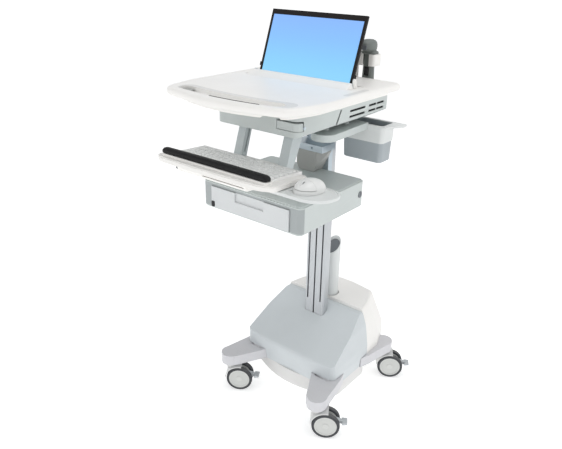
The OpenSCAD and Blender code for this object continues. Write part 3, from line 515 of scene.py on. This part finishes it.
def inflate(o):
    """Cloth pressure rounds the pad; its underside stays on the tray."""
    modifier(o, "REMESH", mode="VOXEL", voxel_size=0.0042, adaptivity=0.0)
    settle(o)
    start = [v.co.copy() for v in o.data.vertices]
    low = on_tray((0, PAD_Y, PAD_FLOOR + 2))
    slope = math.tan(TRAY_TILT)
    base = [v.index for v in o.data.vertices
            if v.co.z * 1000 < low[2] + (v.co.y * 1000 + MID_Y - low[1]) * slope + 0.6]
    o.vertex_groups.new(name="base").add(base, 1.0, "REPLACE")
    cloth = modifier(o, "CLOTH").settings
    cloth.use_pressure = True
    cloth.uniform_pressure_force = 4
    cloth.vertex_group_mass = "base"
    cloth.effector_weights.gravity = 0
    cloth.quality = 5
    scene = bpy.context.scene
    for f in range(1, 19):
        scene.frame_set(f)
    settle(o)
    for v, s in zip(o.data.vertices, start):
        d = v.co - s
        if d.length > PAD_SWELL:
            v.co = s + d.normalized() * PAD_SWELL
    scene.frame_set(1)
    modifier(o, "SMOOTH", factor=0.5, iterations=2)


def palm_pad():
    """Foam pad under a vinyl skin: blown up by cloth pressure from a slightly thin blank."""
    o = loft("palm_pad_foam", pad_blank(), on_tray)
    inflate(o)
    modifier(o, "SUBSURF", levels=1, render_levels=1)
    settle(o)
    smooth(o, 60)
    dress(o, "palm_pad")
    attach(o, "keyboard_unit")
    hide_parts("palm_rest")


# ---------------------------------------------------------------- mouse
MOUSE_X, MOUSE_Y0, MOUSE_Y1, MOUSE_BASE = 265.0, -453.0, -347.0, -18.8
MOUSE_HALF, MOUSE_RISE = 36.0, 30.0
BUTTONS_BACK = -414                                 # the button shell ends here, over the body
WHEEL_Y, WHEEL_Z, WHEEL_R, WHEEL_HALF, TREAD_R = -431, 7.2, 6.2, 2.2, 1.2


def mouse_section(y, inset=0.0, n=20):
    """Half-oval section across the mouse at y: a flat base with a domed top."""
    u = 2 * (y - MOUSE_Y0) / (MOUSE_Y1 - MOUSE_Y0) - 1
    w = max(MOUSE_HALF * max(0.0, 1 - abs(u) ** 2.3) ** 0.48 - inset, 3.0)
    h = 5 + MOUSE_RISE * max(0.0, 1 - abs(u * 0.98 - 0.02) ** 2.1) ** 0.55 - inset
    pts = [(MOUSE_X - w * 0.97, y, MOUSE_BASE), (MOUSE_X - w, y, MOUSE_BASE + 1.4)]
    for i in range(n + 1):
        a = math.pi * i / n
        c, s = math.cos(a), math.sin(a)
        pts.append((MOUSE_X - w * math.copysign(abs(c) ** 0.86, c), y,
                    MOUSE_BASE + 3.0 + (h - 3.0) * abs(s) ** 0.9))
    return pts + [(MOUSE_X + w, y, MOUSE_BASE + 1.4), (MOUSE_X + w * 0.97, y, MOUSE_BASE)]


def mouse_skin(name, front_gap, back_gap, inset=0.0, n=30):
    """The whole mouse as one skin, with sections closer together near its ends."""
    a, b = MOUSE_Y0 + front_gap, MOUSE_Y1 - back_gap
    ys = [a + (b - a) * (0.5 - 0.5 * math.cos(math.pi * i / n)) for i in range(n + 1)]
    return loft(name, [mouse_section(y, inset) for y in ys], on_tray)


def mouse_box(name, corners, z0, z1, n=6):
    """Upright block on the tray, to cut the mouse with."""
    return loft(name, prism_rings(soft(corners, n), z0, z1), on_tray)


def mouse_back():
    """Body of the mouse, cut back where the button shell lies on it."""
    o = mouse_skin("mouse_shell", 0.6, 0.4)
    cut(o, [mouse_box("bite", rect(220, 310, -460, BUTTONS_BACK, 0), -8, 40)])
    rounded(o, 0.5, 2, 40)
    dress(o, "white_trim")
    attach(o, "mouse")
    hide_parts("mouse_body")


def mouse_front():
    """Button shell with the split between its two keys and the wheel's well."""
    o = mouse_skin("mouse_keys_shell", 0.9, 0.6, 0.2)
    keep_within(o, mouse_box("keep", rect(200, 330, -470, BUTTONS_BACK - 0.6, 0), -6.4, 60))
    cut(o, [mouse_box("split", rect(MOUSE_X - 0.6, MOUSE_X + 0.6, -470, -424, 0), 2, 60),
            mouse_box("well", rect(MOUSE_X - 2.8, MOUSE_X + 2.8, -438, -424, 2.5), 4, 60, 4)])
    rounded(o, 0.4, 2, 40)
    dress(o, "white_trim")
    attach(o, "mouse_keys")
    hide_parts("mouse_button")


def mouse_wheel(turns=24, around=10):
    """Small ribbed wheel, a ring of ten-sided sections."""
    bm = bmesh.new()
    rings = []
    for k in range(turns):
        a = 2 * math.pi * k / turns
        ring = []
        for j in range(around):
            b = 2 * math.pi * j / around
            r = WHEEL_R + TREAD_R * math.cos(b) + (0.2 if k % 2 else 0)
            ring.append((MOUSE_X + WHEEL_HALF * math.sin(b), WHEEL_Y + r * math.cos(a),
                         WHEEL_Z + r * math.sin(a)))
        rings.append(ring)
    loft_into(bm, rings + [rings[0]], close=False)
    bmesh.ops.remove_doubles(bm, verts=bm.verts, dist=0.01)
    o = smooth(new_object("mouse_wheel", bm, on_tray), 60)
    dress(o, "tray_shell")
    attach(o, "mouse_keys")


# ---------------------------------------------------------------- worksurface
def work_outline(g, n=8):
    """Outline of the worksurface, drawn in by g."""
    half = [(0, -513 + g * 1.05, 420), (232 - g, -462 + g, 60), (258 - g, -330, 160), (258 - g, 82 - g, 24)]
    return soft(both(half)[:-1], n)


def arc_band(y_front, y_back, x0, x1, n=24):
    """Band that follows the bow of the front edge, with round ends."""
    r, mid = (y_back - y_front) / 2, (y_front + y_back) / 2

    def along(xa, xb, side):
        xs = [xa + (xb - xa) * i / n for i in range(n + 1)]
        return [(x, mid + x * x / FRONT_BOW + side * r) for x in xs]

    def end(x, start):
        angles = [start + math.pi * i / 8 for i in range(1, 8)]
        return [(x + r * math.cos(a), mid + x * x / FRONT_BOW + r * math.sin(a)) for a in angles]
    return along(x0, x1, -1) + end(x1, -math.pi / 2) + along(x1, x0, 1) + end(x0, math.pi / 2)


def worksurface():
    """Rolled-edge top with its hand slot, the laptop's recess and slot, and the column's notch."""
    # height below the top, and how far the outline is drawn in there
    profile = [(0, 10.0), (0.3, 6.8), (1.4, 4.0), (3.4, 1.8), (6.4, 0.5), (9.5, 0.0), (15.5, 0.0),
               (19.0, 0.9), (21.4, 3.0), (22.8, 6.5), (23.0, 14.0), (23.0, 23.0), (25.0, 25.0), (34.8, 26.0)]
    o = loft("worksurface_shell", [level(work_outline(g), WORK_Z - drop) for drop, g in profile])
    through = WORK_Z + 2
    hand_slot = arc_band(SLOT_FRONT, SLOT_BACK, -SLOT_HALF, SLOT_HALF)
    cut(o, [
        loft("underside", prism_rings(soft(rect(-190, 190, -340, 40, 4), 3), DEEP + 10, WORK_Z - 9)),
        loft("hand_slot", prism_rings(hand_slot, DEEP, through)),
        loft("lid_slot", prism_rings(soft(rect(-187, 187, -105, -72, 5), 4), DEEP, through)),
        loft("recess", prism_rings(soft(rect(-208, 208, -132, -60, 9), 5), WORK_Z - 2.2, through)),
        loft("notch", prism_rings(soft(rect(-52, 52, 16, 120, 6), 4), DEEP, through)),
    ])
    rounded(o, 1.6, 3, 32)
    dress(o, "white_shell")
    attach(o, "head")
    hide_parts("worksurface")


def mark(name, outline, look, low=WORK_Z - 0.4, high=WORK_Z + 0.2, hole=None):
    """Thin piece let into the worksurface."""
    o = loft(name, prism_rings(outline, low, high))
    if hole:
        cut(o, [loft("hole", prism_rings(hole, DEEP, WORK_Z + 2))])
    smooth(o, 40)
    dress(o, look)
    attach(o, "head")


def surface_marks():
    """Grey band round the hand slot that paints shade, a painted shadow line along its front edge, a dark
    grey piece that paints the shade in the slot's left end, and the side band.
    """
    # Grey band, mostly behind the slot: painted shade that widens the slot's shaded inner wall.
    mark("hand_slot_shade", arc_band(SLOT_FRONT - 1, -402, -170, 190), "band_shell",
         hole=arc_band(SLOT_FRONT - 0.5, SLOT_BACK + 0.5, -SLOT_HALF, SLOT_HALF))
    # Painted shadow along the slot's front edge.
    mark("hand_slot_shadow_line", arc_band(-468.5, -463.6, -36, 133), "slot_shadow", high=WORK_Z + 0.3)
    # Dark grey piece down in the slot's left end: painted shade.
    mark("slot_end_shade", arc_band(SLOT_FRONT + 2, SLOT_BACK - 2, -SLOT_HALF, -166), "shade_grey",
         WORK_Z - 22, WORK_Z - 7)
    mark("side_band", soft(rect(228, 246, -212, -92, 8), 5), "band_shell")


def lid_ledge():
    """Low ramp that rises towards the laptop's lid."""
    # height, then how far the ends and the front are drawn in
    steps = [(-2.5, 0, 0), (0.6, 1, 3), (7.5, 4, 24), (13.2, 5, 32.5), (14.2, 6.5, 35)]
    o = loft("lid_ledge", [level(soft([(-196 + g, -146 + f, 6), (196 - g, -146 + f, 6),
                                       (196 - g, -106.5, 0), (-196 + g, -106.5, 0)], 4), WORK_Z + up)
                           for up, g, f in steps])
    rounded(o, 1.2, 2, 40)
    dress(o, "white_shell")
    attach(o, "head")


def lid_clips():
    """Round-topped clips beside the lid's lower corners; the right one is the taller."""
    for x, tall, end in ((-189.5, 13, "left"), (192.5, 24, "right")):
        steps = [(-1, 0, 0), (tall - 9, 0.4, 2), (tall, 1, 6), (tall + 2, 2.2, 8)]
        o = loft(f"lid_clip_{end}", [
            level(soft(rect(x - 4.5 + g, x + 4.5 - g, -103 + g, -84 - g - back, 3), 4), WORK_Z + up)
            for up, g, back in steps])
        rounded(o, 0.8, 2, 40)
        dress(o, "white_shell")
        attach(o, "head")


def recess_line():
    """Seam along the front of the laptop's recess."""
    mark("recess_line", soft(rect(-209.4, 209.4, -133.4, -131.6, 0.8), 3), "line_shell",
         WORK_Z - 0.6, WORK_Z + 0.15)


# ---------------------------------------------------------------- base covers
# Half width of the rear cover where it meets the front one, by height.
REAR_HALF = [(118, 199), (140, 203), (165, 204.6), (200, 203.6), (240, 198.4), (283, 190.5), (312, 181),
             (332, 172.5), (338, 170), (341, 168), (343, 165)]
REAR_LEVELS = [118, 121, 124, 136, 150, 165, 182, 200, 220, 240, 256, 272, 290, 305, 320, 328, 334, 338, 341,
               342.4, 343]
REAR_TOP, REAR_SHOULDER, REAR_LIP, REAR_FRONT = 343, 216, 5, 99.9


def between(table, z):
    """The value at z from rows (z, value), straight between them."""
    for (z0, a), (z1, b) in zip(table, table[1:]):
        if z <= z1:
            return a + (b - a) * (z - z0) / (z1 - z0)
    return table[-1][1]


def rear_ring(z):
    """Rear cover's outline at z: slanted rear corners that lean in above the shoulder."""
    w = between(REAR_HALF, z)
    t = max(0.0, (z - REAR_SHOULDER) / (REAR_TOP - REAR_SHOULDER))
    lip = max(0.0, z - (REAR_TOP - REAR_LIP))
    half = [(60 - 30 * t, 301 - 37 * t - lip, 80), (168 - 48 * t - lip, 272 - 22 * t - lip, 18),
            (w - 2 - 10 * t, 182 - 20 * t, 50), (w, REAR_FRONT, 0)]
    return level(soft([(-x, y, r) for x, y, r in half[::-1]] + half, 8), z)


def rear_cover():
    """White shell over the rear half, with louvres, two power openings and the cord tube's hole."""
    o = loft("rear_cover_shell", [rear_ring(z) for z in REAR_LEVELS])
    louvre = soft(rect(-60, 60, 292, 320, 1.5), 2)
    cutters = [loft(f"louvre{i}", prism_rings(louvre, z, z + 3.4)) for i, z in enumerate(range(140, 170, 7))]
    for name, x0, x1 in (("inlet_hole", -46.4, -13.6), ("switch_hole", 9.6, 30.4)):
        cutters.append(loft(name, prism_rings(soft(rect(x0, x1, 262, 320, 1), 2), 189.6, 214.4)))
    cutters.append(loft("tube_hole", prism_rings(soft(rect(-34, 34, 100, 165, 30), 8), 300, 360)))
    cut(o, cutters)
    rounded(o, 1.2, 2, 48)
    dress(o, "white_shell")
    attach(o, "base")
    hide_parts("rear_cover")


def lower_tub():
    """Shallow tub with a rounded bottom edge, bowed in front and stepped in behind."""
    # height, and how far the outline is let out there
    steps = [(52, -14), (52.3, -10), (54, -6.2), (57, -3.2), (61, -1.4), (66, -0.4), (72, 0), (112, 0),
             (116, -0.3), (117.9, -1.5)]
    rings = []
    for z, g in steps:
        half = [(0, -156 - g * 1.08, 330), (192 + g, -78 - g * 0.7, 30), (192 + g, 108 + g, 12),
                (84 + g, 112 + g, 10), (84 + g, 284 + g, 14)]
        rings.append(level(soft(both(half)[:-1], 7), z))
    o = loft("lower_tub_shell", rings)
    smooth(o, 50)
    modifier(o, "WEIGHTED_NORMAL", keep_sharp=True, weight=40)
    dress(o, "tub_shell")
    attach(o, "base")
    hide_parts("lower_tub")


# ---------------------------------------------------------------- scanner
SCANNER_X = 118
# Height, half width, half depth and middle in y, from the butt of the grip to the top of the head.
SCANNER_RINGS = [
    (1187.0, 13, 9, 103), (1187.6, 16.5, 11.5, 103), (1189.5, 19, 13, 103), (1194, 20.3, 14.2, 103),
    (1210, 19.6, 14.4, 103), (1228, 18.8, 14.2, 103), (1246, 19.0, 14.4, 103.5), (1262, 20.0, 15.0, 104),
    (1271, 21.2, 15.5, 104), (1272.6, 27.5, 19.8, 104), (1274.5, 28.8, 20.8, 104), (1279, 28.8, 20.8, 104),
    (1281, 22.0, 20.0, 103.0), (1283, 20.5, 24.0, 100), (1287, 22.0, 30.5, 96), (1293, 23.0, 34.0, 94.0),
    (1300, 23.2, 35.0, 93.0), (1307, 21.8, 32.8, 93), (1312.4, 18.4, 27.0, 93.5), (1316, 12.4, 18.0, 94),
    (1317.4, 4.6, 7.0, 94),
]


def oval(cy, z, rx, ry, power=2.4, n=28):
    """Squarish oval round the scanner's middle line."""
    out = []
    for i in range(n):
        a = 2 * math.pi * i / n
        c, s = math.cos(a), math.sin(a)
        out.append((SCANNER_X + rx * math.copysign(abs(c) ** (2 / power), c),
                    cy + ry * math.copysign(abs(s) ** (2 / power), s), z))
    return out


def scanner():
    """Grip, collar and rounded head in one skin, with a window and a pocket for the trigger."""
    o = loft("scanner_shell", [oval(cy, z, rx, ry) for z, rx, ry, cy in SCANNER_RINGS])
    window = loft("window", [oval(51.5, z, 18, 4.0, 6) for z in (1287, 1303)])
    trigger_room = soft(rect(SCANNER_X - 8.5, SCANNER_X + 8.5, 80, 95.0, 3), 4)
    pocket = loft("pocket", prism_rings(trigger_room, 1204, 1233))
    cut(o, [window, pocket])
    rounded(o, 0.9, 2, 45)
    dress(o, "scanner_shell")
    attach(o, "scanner_unit")
    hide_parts("scanner")


def scanner_window():
    """Dark glass in the head."""
    o = loft("scanner_window", [oval(55.6, z, 16.6, 1.4, 6) for z in (1288.0, 1289.0, 1301.0, 1302.0)])
    smooth(o, 50)
    dress(o, "dark_trim")
    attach(o, "scanner_unit")


# ---------------------------------------------------------------- compartment
def vent_shade_sheets():
    """Dark sheet close behind the ventilation slots, leaning with the side walls: painted shade that keeps
    the slots dark.
    """
    section = [(196.2, 1111), (195.2, 1111), (197.4, 1145), (198.4, 1145)]
    for side, end in ((-1, "left"), (1, "right")):
        o = loft(f"vent_shade_sheet_{end}", [[(side * x, y, z) for x, z in section] for y in (-131, 80)])
        dress(o, "slot_shadow")
        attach(o, "head")


# ---------------------------------------------------------------- drawer housing's painted reflection and cord tube
def drawer_dark_reflection():
    """Painted dark reflection: a thin darker skin that wraps the housing's front and its two round corners.
    """
    skin, corner, margin = 0.35, 16, 7

    def wrap(g, depth):
        x, front, back = HOUSE_HALF + g, HOUSE_FRONT - g, HOUSE_FRONT + depth
        return soft([(-x, back, 0), (-x, front, corner + g), (x, front, corner + g), (x, back, 0)], 8)
    z0, z1 = HOUSE_Z0 + margin, HOUSE_Z1 - margin
    o = loft("drawer_dark_reflection", prism_rings(wrap(skin, 18), z0, z1))
    core = loft("core", prism_rings(wrap(-skin, 36), z0 - 9, z1 + 9))
    mouth = loft("mouth", prism_rings(rect(-159, 159, HOUSE_FRONT - 5, HOUSE_FRONT + 40, 0), 806.5, 880))
    cut(o, [core, mouth])
    smooth(o, 40)
    dress(o, "reflection_grey")
    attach(o, "head")


TUBE_Y, TUBE_BORE = 134, 26.6
MOUTH_Y, MOUTH_Z, MOUTH_SLOPE = 90, 508, 0.9125     # a point on the tube's slanted mouth, and its rise


def tube_brush(n=32):
    """Dark bristle disc just inside the cord tube's slanted mouth."""
    turn = [2 * math.pi * k / n for k in range(n)]
    rim = [(TUBE_BORE * math.cos(a), TUBE_Y + TUBE_BORE * math.sin(a)) for a in turn]
    o = loft("tube_brush", [[(x, y, MOUTH_Z + (y - MOUTH_Y) * MOUTH_SLOPE - depth) for x, y in rim]
                            for depth in (13, 11)])
    smooth(o, 40)
    dress(o, "dark_trim")
    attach(o, "base")


# ---------------------------------------------------------------- lift lever
PIVOT_Y, PIVOT_Z, PIVOT_R = -292, 1110, 5


def lever_paddle():
    """Paddle that nearly fills its pocket, with a finger scoop under its front."""
    side = soft([(-323.5, 1101, 1.5), (-296, 1101, 0), (-296, 1124.5, 0), (-323.5, 1124.5, 4)], 4)
    o = loft("lever_paddle", [[(x, p.x, p.y) for p in side] for x in (80.7, 159.3)])
    plan = soft([(60, -316.6, 0), (150, -316.6, 21), (190, -240, 0), (60, -240, 0)], 8)
    keep_within(o, loft("keep", prism_rings(plan, 1060, 1160)))
    cut(o, [loft("scoop", prism_rings(soft(rect(92, 148, -311, -300, 4), 4), 1090, 1112))])
    rounded(o, 0.8, 2, 40)
    dress(o, "grey_shell")
    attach(o, "lever")
    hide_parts("lift_lever")


def lever_rod(n=16):
    """Pin the paddle turns on."""
    turn = [2 * math.pi * k / n for k in range(n)]
    section = [(PIVOT_Y + PIVOT_R * math.cos(a), PIVOT_Z + PIVOT_R * math.sin(a)) for a in turn]
    o = loft("lever_rod", [[(x, y, z) for y, z in section] for x in (77, 163)])
    smooth(o, 40)
    dress(o, "steel")
    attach(o, "lever")


# ---------------------------------------------------------------- bin
COLLAR_Z = 1011                                     # the collar sits over the bin from here up


def bin_ring(z, g, r=13):
    """Bin's outline at z, let out by g."""
    return level(soft(rect(86 - g, 234 + g, 22.6 - g, 95 + g, r), 6), z)


def bin_body():
    """Straight-sided open bin."""
    steps = [(945.0, -5.5), (946.2, -3.4), (949, -2.2), (COLLAR_Z, 0), (1066, 1.2)]
    o = loft("bin_body", [bin_ring(z, g) for z, g in steps])
    cut(o, [loft("hole", [bin_ring(z, g - 3, 10) for z, g in ((948.5, -2.2), (COLLAR_Z, 0), (1080, 1.2))])])
    rounded(o, 0.8, 2, 40)
    dress(o, "bin_plastic")
    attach(o, "head")
    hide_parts("bin")


def bin_collar():
    """Broad pale collar with a lip that runs out to the right."""
    steps = [(COLLAR_Z, 0.1), (COLLAR_Z + 0.4, 1.7), (COLLAR_Z + 2, 2.4), (1064, 3.4)]
    o = loft("bin_collar", [bin_ring(z, g, 14) for z, g in steps])
    lip = soft([(86, 17, 10), (246, 17, 12), (280, 78, 12), (276, 104, 10), (84, 104, 12)], 6)
    rim = loft("bin_rim", prism_rings(lip, 1063, 1068.2))
    modifier(o, "BOOLEAN", operation="UNION", solver="EXACT", object=rim)
    settle(o)
    bpy.data.objects.remove(rim)
    cut(o, [loft("hole", [bin_ring(z, g - 2.9, 10) for z, g in ((1000, 0.2), (1080, 1.3))])])
    rounded(o, 1.6, 3, 40)
    dress(o, "collar_plastic")
    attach(o, "head")


# ---------------------------------------------------------------- camera, light and stage
CAMERA_AT = (1157.6, -1640.7, 1546.1)
CAMERA_TURN, CAMERA_DROP, CAMERA_ROLL = math.radians(38.53), math.radians(23.56), math.radians(1.11)
SENSOR_MM, LENS_MM = 36.0, 39.1068
FLOOR_SIZE, FLOOR_CELLS = 90.0, 30                  # metres
BACKDROP_R, BACKDROP_LEVELS, BACKDROP_SIDES = 42, (-0.2, 4, 9, 16), 96


def camera():
    """Camera in front and to the right of the cart, looking down at it."""
    data = bpy.data.cameras.new("camera")
    data.sensor_width = SENSOR_MM
    data.lens = LENS_MM
    data.clip_start, data.clip_end = 0.05, 120
    cam = bpy.data.objects.new("camera", data)
    bpy.context.scene.collection.objects.link(cam)
    turn, drop, roll = CAMERA_TURN, CAMERA_DROP, CAMERA_ROLL
    ahead = Vector((-math.sin(turn) * math.cos(drop), math.cos(turn) * math.cos(drop), -math.sin(drop)))
    flat = Vector((math.cos(turn), math.sin(turn), 0))
    rise = flat.cross(ahead)
    right = flat * math.cos(roll) + rise * math.sin(roll)
    up = -flat * math.sin(roll) + rise * math.cos(roll)
    m = Matrix((right, up, -ahead)).transposed().to_4x4()
    m.translation = place(CAMERA_AT)
    cam.matrix_world = m
    bpy.context.scene.camera = cam


def area_light(name, at, to, size, power, colour=(1, 1, 1)):
    """Rectangular soft light at a point, turned towards another."""
    light = bpy.data.lights.new(name, "AREA")
    light.shape = "RECTANGLE"
    light.size, light.size_y = size
    light.energy = power
    light.color = colour
    o = bpy.data.objects.new(name, light)
    bpy.context.scene.collection.objects.link(o)
    o.location = at
    o.rotation_mode = "QUATERNION"
    o.rotation_quaternion = (Vector(to) - Vector(at)).to_track_quat("-Z", "Y")


def lights():
    """Pale surround, a broad light overhead and two weak fills."""
    world = bpy.data.worlds.new("studio")
    bpy.context.scene.world = world
    world.use_nodes = True
    surround = world.node_tree.nodes["Background"]
    surround.inputs["Color"].default_value = (0.985, 0.99, 1.0, 1)
    surround.inputs["Strength"].default_value = 0.57
    area_light("top", (0.5, 0.5, 3.9), (0, 0, 0.9), (2.6, 2.0), 33)
    area_light("side", (3.3, -0.7, 2.4), (0, 0, 0.8), (2.0, 2.2), 6, (1.0, 1.0, 0.99))
    area_light("front", (-1.6, -3.2, 1.9), (0, 0, 0.7), (2.0, 2.0), 9)


def stage_piece(name, rows, glow, closed=False, **values):
    """Part of the stage, skinned over rows of points in metres, with a faint glow of its own."""
    bm = bmesh.new()
    verts = [[bm.verts.new(p) for p in row] for row in rows]
    n = len(verts[0])
    for low, high in zip(verts, verts[1:]):
        for k in range(n if closed else n - 1):
            bm.faces.new((low[k], low[(k + 1) % n], high[(k + 1) % n], high[k]))
    mesh = bpy.data.meshes.new(name)
    bm.to_mesh(mesh)
    bm.free()
    o = bpy.data.objects.new(name, mesh)
    bpy.context.scene.collection.objects.link(o)
    m = bpy.data.materials.new(name)
    m.use_nodes = True
    bsdf = m.node_tree.nodes["Principled BSDF"]
    bsdf.inputs["Emission Color"].default_value = (1, 1, 1, 1)
    bsdf.inputs["Emission Strength"].default_value = glow
    for key, value in values.items():
        bsdf.inputs[key.replace("_", " ")].default_value = value
    mesh.materials.append(m)


def stage():
    """Pale floor and a tall ring far behind it, which stands where the horizon would show."""
    marks = [(i / FLOOR_CELLS - 0.5) * FLOOR_SIZE for i in range(FLOOR_CELLS + 1)]
    stage_piece("floor", [[(x, y, 0) for x in marks] for y in marks], 0.48,
                Base_Color=(0.88, 0.885, 0.885, 1), Roughness=0.7, Specular_IOR_Level=0.2)
    turn = [2 * math.pi * k / BACKDROP_SIDES for k in range(BACKDROP_SIDES)]
    stage_piece("backdrop", [[(BACKDROP_R * math.cos(a), BACKDROP_R * math.sin(a), z) for a in turn]
                             for z in BACKDROP_LEVELS], 0.93, closed=True, Base_Color=(0.05, 0.05, 0.05, 1))
    view = bpy.context.scene.view_settings
    view.view_transform = "Standard"
    view.look = "None"


# ---------------------------------------------------------------- the whole cart
# Nodes that the visual builds anew, or that need no rounding.
OWN_SKIN = ("keycaps", "palm_rest", "mouse_body", "mouse_button", "worksurface", "laptop_display",
            "lower_tub", "rear_cover", "scanner", "bin", "lift_lever")
# Millimetres of rounding on the edges of the others.
EDGE = {"base_frame": 3.0, "front_cover": 3.5, "compartment": 1.6, "drawer_housing": 1.4, "struts": 2.5,
        "bin_arm": 3.0, "keyboard_tray": 1.6, "mouse_tray": 1.6, "carriage": 1.0, "scanner_bracket": 1.2,
        "laptop_lid": 1.2, "laptop_base": 1.2, "neck_cover": 2.0, "drawer_front": 1.0,
        "column_foot": 1.5, "battery": 2.0,
        "caster_fl": 2.0, "caster_fr": 2.0, "caster_rl": 2.0, "caster_rr": 2.0}
SMALL_EDGE = 0.6

camera()
lights()
stage()
dress_cad()
for n in NODES:
    if n not in OWN_SKIN:
        finish_cad(n, EDGE.get(n, SMALL_EDGE))
keycaps()
palm_pad()
mouse_back()
mouse_front()
mouse_wheel()
worksurface()
surface_marks()
lid_ledge()
lid_clips()
recess_line()
lower_tub()
rear_cover()
scanner()
scanner_window()
vent_shade_sheets()
drawer_dark_reflection()
tube_brush()
lever_paddle()
lever_rod()
bin_body()
bin_collar()
